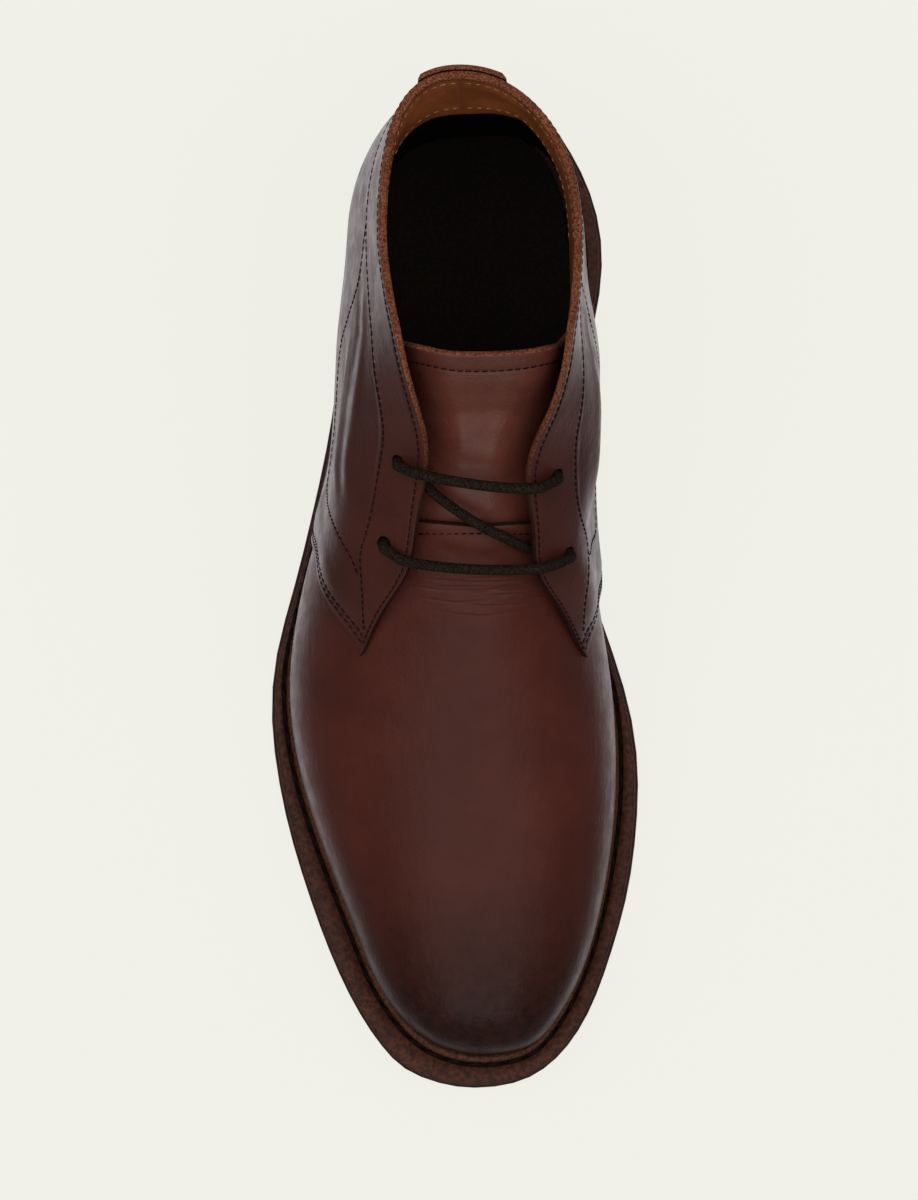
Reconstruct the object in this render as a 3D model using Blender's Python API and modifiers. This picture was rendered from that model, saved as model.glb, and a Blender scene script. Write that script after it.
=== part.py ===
"""Right chukka boot: a hollow two-eyelet upper on a storm welt, outsole and stacked heel.

Metres. +X is the inner (medial) side of the foot, -Y the toe, +Z up, the floor at z = 0.
Tables give shares of the named sizes. "along" runs from 0 at the back of the sole to 1 at
its toe, and a half width is measured from the boot's midline to the side that it names.
"""

import math

import bmesh
import bpy
import numpy as np
from mathutils import Matrix, Vector

# Overall sizes of the boot.
SOLE_LENGTH = 0.300
BALL_WIDTH = 0.110
COLLAR_HEIGHT = 0.125
INSTEP_HEIGHT = 0.0915
MIDLINE_X = 0.006
GAP = 0.0004

# Sole.
TOE_SPRING = 0.009
HEEL_LIFT = 0.0175
OUTSOLE_THICK = 0.0065
WELT_THICK = 0.0032
WELT_STEP = 0.0012
WELT_FLANGE = 0.0040
EDGE_BEVEL = 0.0007
BEAD_WIDTH = 0.0028
BEAD_HEIGHT = 0.0022
BEAD_CLEARANCE = 0.0005
GROOVE_WIDTH = 0.0014
GROOVE_DEPTH = 0.0009
TOP_PIECE_THICK = 0.0060
HEEL_INSET = 0.0010
HEEL_TAPER = 0.0015
BREAST_ALONG = 0.275
BREAST_HOLLOW = 0.0040

# Upper, tongue and insole.
VAMP_WALL = 0.0022
QUARTER_WALL = 0.0026
QUARTER_SINK = 0.0006
COLLAR_BAND_STEP = 0.0005
FLAP_LIFT = 0.0046
FOOT_BAND = 0.0020
VAMP_FULLNESS = 2.15
LOWER_SHARE = 0.14
LOW_LEVEL = 0.36
HIGH_LEVEL = 0.68
THROAT_ALONG = 0.4467
BACKSTAY_WALL = 0.0013
BACKSTAY_TOP_WIDTH = 0.0255
BACKSTAY_FOOT_WIDTH = 0.0300
TONGUE_WALL = 0.0020
TONGUE_DROP = 0.0030
TONGUE_UNDERLAP = 0.0120
INSOLE_THICK = 0.0030
INSOLE_CLEARANCE = 0.0005

# Lace and its punched holes.
LACE_DIAMETER = 0.0030
LACE_HOLE = 0.0044
LACE_CLEARANCE = 0.0005
LACE_TURN = 0.0050

# Outline of the sole: half widths as shares of BALL_WIDTH.
SOLE_OUTLINE_COLUMNS = ("along", "lateral", "medial")
SOLE_OUTLINE = (
    (1.000, 0.000, 0.000),
    (0.993, 0.118, 0.126),
    (0.983, 0.182, 0.181),
    (0.963, 0.244, 0.243),
    (0.923, 0.320, 0.314),
    (0.863, 0.399, 0.376),
    (0.803, 0.459, 0.420),
    (0.743, 0.508, 0.442),
    (0.683, 0.541, 0.446),
    (0.623, 0.555, 0.423),
    (0.563, 0.538, 0.374),
    (0.500, 0.492, 0.316),
    (0.433, 0.445, 0.277),
    (0.360, 0.400, 0.268),
    (0.283, 0.368, 0.297),
    (0.200, 0.348, 0.340),
    (0.133, 0.320, 0.328),
    (0.072, 0.259, 0.258),
    (0.030, 0.180, 0.172),
    (0.010, 0.107, 0.100),
    (0.000, 0.000, 0.000),
)

# Underside of the outsole: waist and heel seat as shares of HEEL_LIFT, toe of TOE_SPRING.
UNDERSIDE_COLUMNS = ("along", "heel_lift", "toe_spring")
UNDERSIDE = (
    (0.00, 1.000, 0.000),
    (0.12, 1.000, 0.000),
    (0.20, 0.975, 0.000),
    (0.27, 0.900, 0.000),
    (0.34, 0.710, 0.000),
    (0.41, 0.440, 0.000),
    (0.48, 0.180, 0.000),
    (0.54, 0.030, 0.000),
    (0.58, 0.000, 0.000),
    (0.73, 0.000, 0.000),
    (0.80, 0.000, 0.090),
    (0.88, 0.000, 0.350),
    (0.94, 0.000, 0.640),
    (1.00, 0.000, 1.000),
)

# The form under the quarters and flush with the vamp's face. Half widths are shares of
# BALL_WIDTH, ridge heights of INSTEP_HEIGHT and the rise to the widest line of COLLAR_HEIGHT.
FORM_COLUMNS = (
    "along", "foot_lateral", "foot_medial", "wide_lateral", "wide_medial",
    "rise", "ridge_across", "ridge_height",
)
FORM = (
    (0.9627, -0.023, 0.023, -0.023, 0.023, 0.050, 0.023, 0.262),
    (0.9533, 0.096, 0.146, 0.101, 0.151, 0.058, 0.022, 0.377),
    (0.9313, 0.176, 0.204, 0.185, 0.213, 0.065, 0.018, 0.455),
    (0.8880, 0.257, 0.268, 0.269, 0.280, 0.072, 0.013, 0.515),
    (0.8360, 0.315, 0.315, 0.328, 0.328, 0.074, 0.008, 0.552),
    (0.7650, 0.389, 0.351, 0.403, 0.365, 0.076, 0.004, 0.603),
    (0.6723, 0.464, 0.367, 0.478, 0.381, 0.078, 0.000, 0.682),
    (0.5953, 0.484, 0.345, 0.499, 0.367, 0.082, 0.000, 0.770),
    (0.5267, 0.461, 0.305, 0.477, 0.338, 0.092, 0.000, 0.866),
    (0.4647, 0.418, 0.268, 0.436, 0.312, 0.103, 0.000, 0.966),
    (0.3900, 0.362, 0.245, 0.377, 0.296, 0.114, 0.000, 1.105),
    (0.3300, 0.336, 0.247, 0.356, 0.300, 0.123, 0.000, 1.240),
    (0.2800, 0.325, 0.266, 0.348, 0.303, 0.130, 0.000, 1.345),
    (0.2333, 0.316, 0.277, 0.339, 0.303, 0.135, 0.000, 1.400),
    (0.1833, 0.303, 0.275, 0.324, 0.296, 0.138, 0.000, 1.420),
)

# Front edges of the quarters over the vamp, from the pointed corner to the throat.
FACING_COLUMNS = ("along", "lateral", "medial")
FACING = (
    (0.5690, 0.293, 0.279),
    (0.5267, 0.226, 0.200),
    (0.4867, 0.155, 0.126),
    (0.4467, 0.127, 0.110),
)

# Quarter walls behind the throat: half widths as shares of BALL_WIDTH, collar of COLLAR_HEIGHT.
QUARTER_COLUMNS = (
    "along", "low_lateral", "low_medial", "high_lateral", "high_medial",
    "edge_lateral", "edge_medial", "edge_height",
)
QUARTER = (
    (0.3900, 0.353, 0.287, 0.275, 0.245, 0.092, 0.094, 0.785),
    (0.3300, 0.332, 0.295, 0.258, 0.258, 0.110, 0.148, 0.885),
    (0.2800, 0.325, 0.300, 0.265, 0.272, 0.171, 0.210, 0.960),
    (0.2333, 0.315, 0.300, 0.260, 0.275, 0.203, 0.232, 0.985),
    (0.1833, 0.300, 0.293, 0.257, 0.271, 0.219, 0.239, 0.982),
)

# Back seam, from the foot up: how far back each level reaches and how far it leans lateral.
BACK_COLUMNS = ("level", "along", "lean", "fullness")
BACK = (
    ("foot", 0.0383, -0.005, 2.2),
    ("wide", 0.0257, -0.010, 2.1),
    ("low", 0.0300, -0.018, 2.15),
    ("high", 0.0400, -0.029, 2.2),
    ("edge", 0.0440, -0.040, 2.25),
)
BACK_EDGE_HEIGHT = 0.987
BACK_RISE = 0.138

# Where the quarter's front seam crosses each level, from the foot up to the pointed corner.
SEAM_LEVELS = (0.0, 0.16, 0.44, 0.72, 1.0)
SEAM_LATERAL = (0.4200, 0.4550, 0.4920, 0.5300, 0.5600)
SEAM_MEDIAL = (0.4600, 0.5100, 0.5400, 0.5580, 0.5690)

# Hidden rear edge of the vamp, from the foot up to the ridge at the throat.
VAMP_REAR_LEVELS = (0.0, 0.3, 0.55, 0.75, 1.0)
VAMP_REAR_LATERAL = (0.3800, 0.4000, 0.4250, 0.4400, 0.4467)
VAMP_REAR_MEDIAL = (0.4150, 0.4250, 0.4350, 0.4430, 0.4467)

# Lower edge of the collar band: stations from the pointed corner to the back, and levels.
BAND_STATIONS = (0.0, 0.12, 0.25, 0.45, 0.70, 1.0)
BAND_LEVELS = (0.97, 0.80, 0.72, 0.74, 0.83, 0.88)

# Middle of the tongue above the throat.
TONGUE_COLUMNS = ("along", "height")
TONGUE = (
    (0.4467, 0.732),
    (0.3900, 0.806),
    (0.3300, 0.908),
    (0.2900, 0.988),
    (0.2740, 1.012),
)
TONGUE_TOP_MIDDLE = 0.2900
TONGUE_TOP_SIDE = 0.2760
TONGUE_REACH = 0.66

# Eyelets: along, and half width to the hole as a share of BALL_WIDTH.
EYELET_COLUMNS = ("name", "lateral_along", "lateral", "medial_along", "medial")
EYELETS = (
    ("top", 0.3870, 0.197, 0.3990, 0.206),
    ("bottom", 0.4620, 0.235, 0.4710, 0.241),
)


# Where each bar of the lace crosses the facings' edges, and its sag between them in metres.
LACE_BAR_COLUMNS = ("name", "lateral_along", "medial_along", "middle_along", "sag")
LACE_BARS = (
    ("top", 0.3870, 0.4000, 0.4090, 0.0004),
    ("bottom", 0.4680, 0.4755, 0.4870, 0.0006),
)

# The diagonal leaves the lateral facing and enters the medial one at these places along.
LACE_DIAGONAL = (0.4130, 0.4640)
LACE_OVER_VAMP = ((0.4480, 0.020), (0.4560, 0.075))

# Ends of the lace under the flaps: along and level.
LACE_END_TOP = (0.370, 0.80)
LACE_END_BOTTOM = (0.422, 0.86)


def column(table, names, name):
    """One named column of a table, as an array."""
    return np.array([row[names.index(name)] for row in table], float)


def spline(knots, values):
    """A natural cubic spline through the values, as a function of the knots' variable."""
    order = np.argsort(knots)
    x = np.asarray(knots, float)[order]
    y = np.asarray(values, float)[order]
    step = np.diff(x)
    count = len(x)
    matrix = np.eye(count)
    right = np.zeros_like(y)
    for i in range(1, count - 1):
        matrix[i, i - 1 : i + 2] = step[i - 1], 2 * (step[i - 1] + step[i]), step[i]
        right[i] = 6 * ((y[i + 1] - y[i]) / step[i] - (y[i] - y[i - 1]) / step[i - 1])
    bend = np.linalg.solve(matrix, right)

    def at(t):
        i = int(np.clip(np.searchsorted(x, t) - 1, 0, count - 2))
        a, b, h = x[i + 1] - t, t - x[i], step[i]
        return (
            (bend[i] * a**3 + bend[i + 1] * b**3) / (6 * h)
            + (y[i] / h - bend[i] * h / 6) * a
            + (y[i + 1] / h - bend[i + 1] * h / 6) * b
        )

    return at


def smooth(value, low, high):
    """0 below low, 1 above high and an even S between them."""
    t = min(1.0, max(0.0, (value - low) / (high - low)))
    return t * t * (3 - 2 * t)


def y_at(along):
    return SOLE_LENGTH * (0.5 - along)


def along_at(y):
    return 0.5 - y / SOLE_LENGTH


def sole_turn(along):
    """0 at the toe and 1 at the heel, opening like a circle at both round ends."""
    return math.acos(max(-1.0, min(1.0, 2 * along - 1))) / math.pi


FORM_TOE = FORM[0][0]
FORM_BACK = BACK[1][1]


def form_turn(along):
    """The same variable for the form, whose toe lies behind the sole's."""
    share = (along - FORM_BACK) / (FORM_TOE - FORM_BACK)
    return math.acos(max(-1.0, min(1.0, 2 * share - 1))) / math.pi


def table_splines(table, names, variable):
    knots = [variable(a) for a in column(table, names, "along")]
    return {n: spline(knots, column(table, names, n)) for n in names if n != "along"}


SOLE_CURVES = table_splines(SOLE_OUTLINE, SOLE_OUTLINE_COLUMNS, sole_turn)
FORM_CURVES = table_splines(FORM, FORM_COLUMNS, form_turn)
UNDERSIDE_ALONG = column(UNDERSIDE, UNDERSIDE_COLUMNS, "along")
HEEL_CURVE = spline(UNDERSIDE_ALONG[:9], column(UNDERSIDE, UNDERSIDE_COLUMNS, "heel_lift")[:9])
TOE_CURVE = spline(UNDERSIDE_ALONG[9:], column(UNDERSIDE, UNDERSIDE_COLUMNS, "toe_spring")[9:])
FLAT_FROM = UNDERSIDE_ALONG[8]
FLAT_TO = UNDERSIDE_ALONG[9]
SIGN = {"lateral": -1.0, "medial": 1.0}


def underside(y):
    """Height of the outsole's underside: flat under the ball, up at the toe and the heel."""
    along = along_at(y)
    if along <= FLAT_FROM:
        return HEEL_LIFT * min(1.0, max(0.0, float(HEEL_CURVE(max(along, 0.0)))))
    if along >= FLAT_TO:
        return TOE_SPRING * max(0.0, float(TOE_CURVE(min(along, 1.0))))
    return 0.0


def welt_bottom(y):
    return underside(y) + OUTSOLE_THICK + GAP


def welt_top(y):
    return welt_bottom(y) + WELT_THICK


def foot_height(y):
    """Where the upper and the insole stand, just clear of the welt."""
    return welt_top(y) + GAP


def sole_point(side, turn, inset=0.0):
    """A point of the sole's outline in plan, moved inwards by inset."""

    def at(t):
        along = 0.5 * (1 + math.cos(math.pi * t))
        half = float(SOLE_CURVES[side](t)) * BALL_WIDTH
        return np.array([MIDLINE_X + SIGN[side] * half, y_at(along)])

    step = 1e-3
    low, high = max(0.0, turn - step), min(1.0, turn + step)
    tangent = at(high) - at(low)
    if turn <= 0.0:
        tangent = np.array([SIGN[side], 0.0])
    if turn >= 1.0:
        tangent = np.array([-SIGN[side], 0.0])
    tangent /= np.linalg.norm(tangent)
    inward = np.array([-tangent[1], tangent[0]]) * SIGN[side]
    return at(turn) + inward * inset


def form_row(y):
    """The form's sizes at a transverse section, in metres."""
    turn = form_turn(along_at(y))
    row = {n: float(curve(turn)) * BALL_WIDTH for n, curve in FORM_CURVES.items()}
    row["rise"] = float(FORM_CURVES["rise"](turn)) * COLLAR_HEIGHT
    row["ridge_height"] = float(FORM_CURVES["ridge_height"](turn)) * INSTEP_HEIGHT
    return row


def arch_point(row, y, side, angle):
    """A point of a section's arch: angle 0 is the widest line and 90 degrees the ridge."""
    wide_z = foot_height(y) + row["rise"]
    half = row["wide_" + side] - SIGN[side] * row["ridge_across"]
    across = half * math.cos(angle) ** (2 / VAMP_FULLNESS)
    x = MIDLINE_X + row["ridge_across"] + SIGN[side] * across
    ridge = max(row["ridge_height"], wide_z)
    return np.array([x, y, wide_z + (ridge - wide_z) * math.sin(angle)])


def foot_point(row, y, side):
    """The lowest point of the sheet, standing on the welt."""
    return np.array([MIDLINE_X + SIGN[side] * row["foot_" + side], y, foot_height(y)])


def vamp_point(side, y, level):
    """The vamp's face: level 0 is the foot, LOWER_SHARE the widest line and 1 the ridge."""
    row = form_row(y)
    if level >= LOWER_SHARE:
        angle = 0.5 * math.pi * (level - LOWER_SHARE) / (1 - LOWER_SHARE)
        return arch_point(row, y, side, min(angle, 0.5 * math.pi))
    wide = arch_point(row, y, side, 0.0)
    foot = foot_point(row, y, side)
    share = math.sin(0.5 * math.pi * level / LOWER_SHARE)
    tuck = 1 - math.cos(0.5 * math.pi * (1 - level / LOWER_SHARE))
    band = foot + np.array([0.0, 0.0, min(FOOT_BAND, 0.5 * row["rise"])])
    point = wide + (band - wide) * np.array([tuck, 0.0, 1 - share])
    return point


QUARTER_LEVELS = (0.0, 0.16, 0.44, 0.72, 1.0)


def facing_station(along, lateral, medial):
    """Level points of a section where the quarter lies on the vamp, cut at the facing's edge."""
    y = y_at(along)
    row = form_row(y)
    station = {}
    for side, half in (("lateral", lateral), ("medial", medial)):
        share = min(1.0, half * BALL_WIDTH / row["wide_" + side])
        last = math.acos(share ** (VAMP_FULLNESS / 2))
        band = foot_point(row, y, side) + np.array([0.0, 0.0, FOOT_BAND])
        angles = (0.0, last / 3, 2 * last / 3, last)
        station[side] = np.array([band] + [arch_point(row, y, side, a) for a in angles])
    return station


def wall_station(values):
    """Level points of a section through the quarter's walls behind the throat."""
    cell = dict(zip(QUARTER_COLUMNS, values))
    y = y_at(cell["along"])
    row = form_row(y)
    wide_z = foot_height(y) + row["rise"]
    edge_z = cell["edge_height"] * COLLAR_HEIGHT
    station = {}
    for side in SIGN:
        halves = [row["foot_" + side], row["wide_" + side]]
        halves += [cell[n + side] * BALL_WIDTH for n in ("low_", "high_", "edge_")]
        rise = edge_z - wide_z
        heights = [foot_height(y) + FOOT_BAND, wide_z]
        heights += [wide_z + rise * share for share in (LOW_LEVEL, HIGH_LEVEL, 1.0)]
        station[side] = np.array(
            [[MIDLINE_X + SIGN[side] * h, y, z] for h, z in zip(halves, heights)]
        )
    return station


def heel_stations(last, turns):
    """Stations round the heel, as superellipses from the last section to the back seam."""
    y_last = y_at(QUARTER[-1][0])
    back_wide = foot_height(y_at(BACK[1][1])) + BACK_RISE * COLLAR_HEIGHT
    back_edge = BACK_EDGE_HEIGHT * COLLAR_HEIGHT
    rise = back_edge - back_wide
    back_z = [foot_height(y_at(BACK[0][1])) + FOOT_BAND, back_wide]
    back_z += [back_wide + rise * share for share in (LOW_LEVEL, HIGH_LEVEL, 1.0)]
    found = []
    for turn in turns:
        station = {}
        for side in SIGN:
            points = []
            for i, (_, along, lean, fullness) in enumerate(BACK):
                start = last[side][i]
                other = last["medial" if side == "lateral" else "lateral"][i]
                middle = 0.5 * (start[0] + other[0])
                back_x = MIDLINE_X + lean * BALL_WIDTH
                share = math.sin(turn) ** 2
                across = math.cos(turn) ** (2 / fullness)
                back = math.sin(turn) ** (2 / fullness)
                x = middle + (back_x - middle) * share + (start[0] - middle) * across
                y = y_last + (y_at(along) - y_last) * back
                z = start[2] + (back_z[i] - start[2]) * share
                points.append([x, y, z])
            station[side] = np.array(points)
        found.append(station)
    return found


HEEL_TURNS = [math.radians(a) for a in (18, 36, 54, 72, 90)]
FRONT_STATIONS = [facing_station(*row) for row in FACING] + [wall_station(r) for r in QUARTER]
STATIONS = FRONT_STATIONS + heel_stations(FRONT_STATIONS[-1], HEEL_TURNS)
STATION_KNOTS = np.concatenate(
    [[0.0], np.cumsum([
        np.linalg.norm(b["lateral"][2] - a["lateral"][2])
        for a, b in zip(STATIONS[:-1], STATIONS[1:])
    ])]
)
BACK_KNOT = STATION_KNOTS[-1]
LAST_SECTION_KNOT = STATION_KNOTS[len(FRONT_STATIONS) - 1]


def wrap_splines():
    """One spline per level, from the lateral front round the heel to the medial front."""
    lateral = [s["lateral"] for s in STATIONS]
    medial = [s["medial"] for s in STATIONS[:-1]][::-1]
    points = np.array(lateral + medial)
    knots = np.concatenate([STATION_KNOTS, 2 * BACK_KNOT - STATION_KNOTS[:-1][::-1]])
    return spline(knots, points.reshape(len(points), -1))


WRAP = wrap_splines()


def wrap_profile(knot):
    """The quarter's five level points at a place along the wrap."""
    return WRAP(knot).reshape(len(QUARTER_LEVELS), 3)


def wrap_point(knot, level):
    """The quarter's sheet before its lift: level 0 is the foot and 1 the collar's edge."""
    return spline(QUARTER_LEVELS, wrap_profile(knot))(level)


KNOT_SAMPLES = np.linspace(0.0, LAST_SECTION_KNOT, 200)
Y_SAMPLES = np.array([wrap_profile(k)[2][1] for k in KNOT_SAMPLES])


def knot_at(y, side):
    """The place along the wrap of a transverse section in front of the heel."""
    knot = float(np.interp(y, Y_SAMPLES, KNOT_SAMPLES))
    return knot if side == "lateral" else 2 * BACK_KNOT - knot


def wrap_normal(knot, level):
    step_k, step_l = 0.0008, 0.02
    low, high = max(0.0, level - step_l), min(1.0, level + step_l)
    along = wrap_point(knot + step_k, level) - wrap_point(knot - step_k, level)
    up = wrap_point(knot, high) - wrap_point(knot, low)
    normal = np.cross(up, along)
    return normal / np.linalg.norm(normal)


def flap_lift(y, level):
    """How far the free flap stands off the vamp at its facing edge."""
    along = along_at(y)
    front = 1 - smooth(along, THROAT_ALONG + 0.035, THROAT_ALONG + 0.115)
    back = smooth(along, 0.26, 0.34)
    return FLAP_LIFT * smooth(level, 0.36, 0.76) * front * back


def quarter_point(knot, level, offset=0.0):
    """The quarter's sheet with its flap lifted, moved out by offset."""
    point = wrap_point(knot, level)
    return point + wrap_normal(knot, level) * (offset + flap_lift(point[1], level))


def mesh_object(name, points, faces):
    mesh = bpy.data.meshes.new(name)
    bm = bmesh.new()
    vertices = [bm.verts.new(p) for p in points]
    for face in faces:
        bm.faces.new([vertices[i] for i in face])
    bmesh.ops.remove_doubles(bm, verts=bm.verts, dist=1e-6)
    bmesh.ops.dissolve_degenerate(bm, dist=1e-6, edges=bm.edges)
    bm.to_mesh(mesh)
    bm.free()
    obj = bpy.data.objects.new(name, mesh)
    bpy.context.scene.collection.objects.link(obj)
    return obj


def grid_sheet(name, grid):
    """An open sheet through a grid of points, facing out for columns that run clockwise."""
    columns, rows = len(grid), len(grid[0])
    points = [p for line in grid for p in line]
    faces = [
        (i * rows + j, (i + 1) * rows + j, (i + 1) * rows + j + 1, i * rows + j + 1)
        for i in range(columns - 1)
        for j in range(rows - 1)
    ]
    return mesh_object(name, points, [f[::-1] for f in faces])


def solidify(obj, thickness, outward):
    """Gives a sheet its wall, with the share outward of it on the outside."""
    wall = obj.modifiers.new("wall", "SOLIDIFY")
    wall.thickness = thickness
    wall.offset = 2 * outward - 1
    wall.use_even_offset = True
    return obj


def applied(obj):
    """The object with its modifiers made real."""
    graph = bpy.context.evaluated_depsgraph_get()
    mesh = bpy.data.meshes.new_from_object(obj.evaluated_get(graph))
    obj.modifiers.clear()
    obj.data = mesh
    return obj


def combine(obj, other, operation):
    """Joins other to obj, or cuts it away, and removes it."""
    step = obj.modifiers.new(operation.lower(), "BOOLEAN")
    step.operation = operation
    step.object = other
    step.solver = "EXACT"
    applied(obj)
    bpy.data.objects.remove(other)
    return obj


def fill_pockets(obj):
    """Fills the hairline pockets left where two leathers lie against each other."""
    bm = bmesh.new()
    bm.from_mesh(obj.data)
    waiting = set(bm.faces)
    while waiting:
        shell, edge = set(), [waiting.pop()]
        while edge:
            face = edge.pop()
            shell.add(face)
            near = {f for e in face.edges for f in e.link_faces} & waiting
            waiting -= near
            edge.extend(near)
        volume = sum(f.normal.dot(f.calc_center_median()) * f.calc_area() for f in shell)
        if volume < 0:
            bmesh.ops.delete(bm, geom=list(shell), context="FACES")
    bm.to_mesh(obj.data)
    bm.free()
    return obj


def paint(obj, name, colour, roughness, metallic=0.0):
    """Gives the object its own material."""
    material = bpy.data.materials.new(name)
    material.use_nodes = True
    shader = material.node_tree.nodes["Principled BSDF"]
    shader.inputs["Base Color"].default_value = (*colour, 1.0)
    shader.inputs["Roughness"].default_value = roughness
    shader.inputs["Metallic"].default_value = metallic
    obj.data.materials.clear()
    obj.data.materials.append(material)
    return obj


def shade(obj, angle=35.0):
    obj.data.shade_smooth()
    obj.data.set_sharp_from_angle(angle=math.radians(angle))
    return obj


def loop_solid(name, pairs, rows, capped=True):
    """A plate or a ring round an outline.

    pairs is a list of (medial, lateral) stations from toe to heel, each a function of the
    row. A row's points run round the outline. Capped rows close across each pair, and an
    uncapped list of rows closes on itself, as a ring does.
    """
    count = len(pairs)
    loop = [(i, 0) for i in range(count)] + [(i, 1) for i in range(count - 1, -1, -1)]
    size = len(loop)
    points = [pairs[i][side](row) for row in rows for i, side in loop]
    faces = []
    last = len(rows) - (1 if capped else 0)
    for r in range(last):
        low, high = r * size, ((r + 1) % len(rows)) * size
        for k in range(size):
            n = (k + 1) % size
            faces.append((low + k, low + n, high + n, high + k))
    if capped:
        top = (len(rows) - 1) * size
        for i in range(count - 1):
            a, b = i, i + 1
            c, d = size - 1 - b, size - 1 - a
            faces.append((d, c, b, a))
            faces.append((top + a, top + b, top + c, top + d))
    faces = [tuple(dict.fromkeys(f)) for f in faces]
    obj = mesh_object(name, points, [f for f in faces if len(f) > 2])
    bm = bmesh.new()
    bm.from_mesh(obj.data)
    bmesh.ops.recalc_face_normals(bm, faces=bm.faces)
    if bm.calc_volume(signed=True) < 0:
        bmesh.ops.reverse_faces(bm, faces=bm.faces)
    bm.to_mesh(obj.data)
    bm.free()
    return obj


def sole_pairs(count, start=0.0):
    """Stations of the sole's outline whose rows are (inset, height function)."""

    def station(side, turn):
        def point(row):
            inset, height = row
            x, y = sole_point(side, turn, inset)
            return x, y, height(y)

        return point

    turns = np.linspace(start, 1.0, count)
    return [(station("medial", t), station("lateral", t)) for t in turns]


def build_outsole():
    """The full outsole: toe spring, flat ball, raised waist and heel seat."""
    rows = [
        (EDGE_BEVEL, underside),
        (0.0, lambda y: underside(y) + EDGE_BEVEL),
        (0.0, lambda y: underside(y) + OUTSOLE_THICK - EDGE_BEVEL),
        (EDGE_BEVEL, lambda y: underside(y) + OUTSOLE_THICK),
    ]
    outsole = loop_solid("outsole", sole_pairs(47), rows)
    return paint(shade(outsole), "rubber_outsole", (0.030, 0.016, 0.012), 0.55)


def heel_pairs(count, inset_top):
    """Stations round the heel block, from its hollow breast to the back."""
    start = sole_turn(BREAST_ALONG)
    turns = np.linspace(start, 1.0, count)
    half = 0.5 * BALL_WIDTH

    def station(side, turn):
        def point(row):
            inset, height = row
            x, y = sole_point(side, turn, inset_top + inset)
            if turn == start:
                y = y_at(BREAST_ALONG)
            return x, y, height(y)

        return point

    def breast(share):
        def point(row):
            a = np.array(station("medial", start)(row))
            b = np.array(station("lateral", start)(row))
            x, y, _ = a + (b - a) * share
            y += BREAST_HOLLOW * (1 - (2 * share - 1) ** 2) * min(1.0, abs(b[0] - a[0]) / half)
            return x, y, row[1](y)

        return point

    inner = [(breast(s), breast(1 - s)) for s in (0.5, 0.375, 0.25, 0.125)]
    return inner + [(station("medial", t), station("lateral", t)) for t in turns]


def build_heel():
    """The stacked heel under the seat and the top piece that meets the floor."""
    stack_bottom = TOP_PIECE_THICK + GAP
    rows = [
        (HEEL_TAPER + EDGE_BEVEL, lambda y: stack_bottom),
        (HEEL_TAPER, lambda y: stack_bottom + EDGE_BEVEL),
        (0.0, lambda y: underside(y) - GAP),
    ]
    stack = loop_solid("heel_stack", heel_pairs(17, HEEL_INSET), rows)
    paint(shade(stack), "stacked_leather", (0.060, 0.026, 0.016), 0.5)
    inset = HEEL_INSET + HEEL_TAPER
    rows = [
        (EDGE_BEVEL, lambda y: 0.0),
        (0.0, lambda y: EDGE_BEVEL),
        (0.0, lambda y: TOP_PIECE_THICK),
    ]
    top_piece = loop_solid("heel_top_piece", heel_pairs(17, inset), rows)
    return stack, paint(shade(top_piece), "rubber_top_piece", (0.022, 0.018, 0.016), 0.6)


def foot_loop_point(side, share):
    """A point of the form's foot line in plan: share 0 is the toe tip and 1 the back seam."""
    toe = y_at(FORM_TOE)
    y_last = y_at(QUARTER[-1][0])
    back = y_at(BACK[0][1])
    y = toe + (back - toe) * 0.5 * (1 - math.cos(math.pi * share))
    if y <= y_last:
        row = form_row(y)
        return np.array([MIDLINE_X + SIGN[side] * row["foot_" + side], y])
    knots = np.linspace(LAST_SECTION_KNOT, BACK_KNOT, 60)
    line = np.array([wrap_profile(k)[0] for k in knots])
    knot = float(np.interp(y, line[:, 1], knots))
    if side == "medial":
        knot = 2 * BACK_KNOT - knot
    return wrap_profile(knot)[0][:2]


def foot_inward(side, share):
    """The direction into the boot, square to the foot line in plan."""
    step = 0.004
    low, high = max(0.0, share - step), min(1.0, share + step)
    tangent = foot_loop_point(side, high) - foot_loop_point(side, low)
    if share <= 0.0 or share >= 1.0:
        tangent = np.array([SIGN[side] * (1 if share <= 0.0 else -1), 0.0])
    tangent /= np.linalg.norm(tangent)
    return np.array([-tangent[1], tangent[0]]) * SIGN[side]


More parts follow.
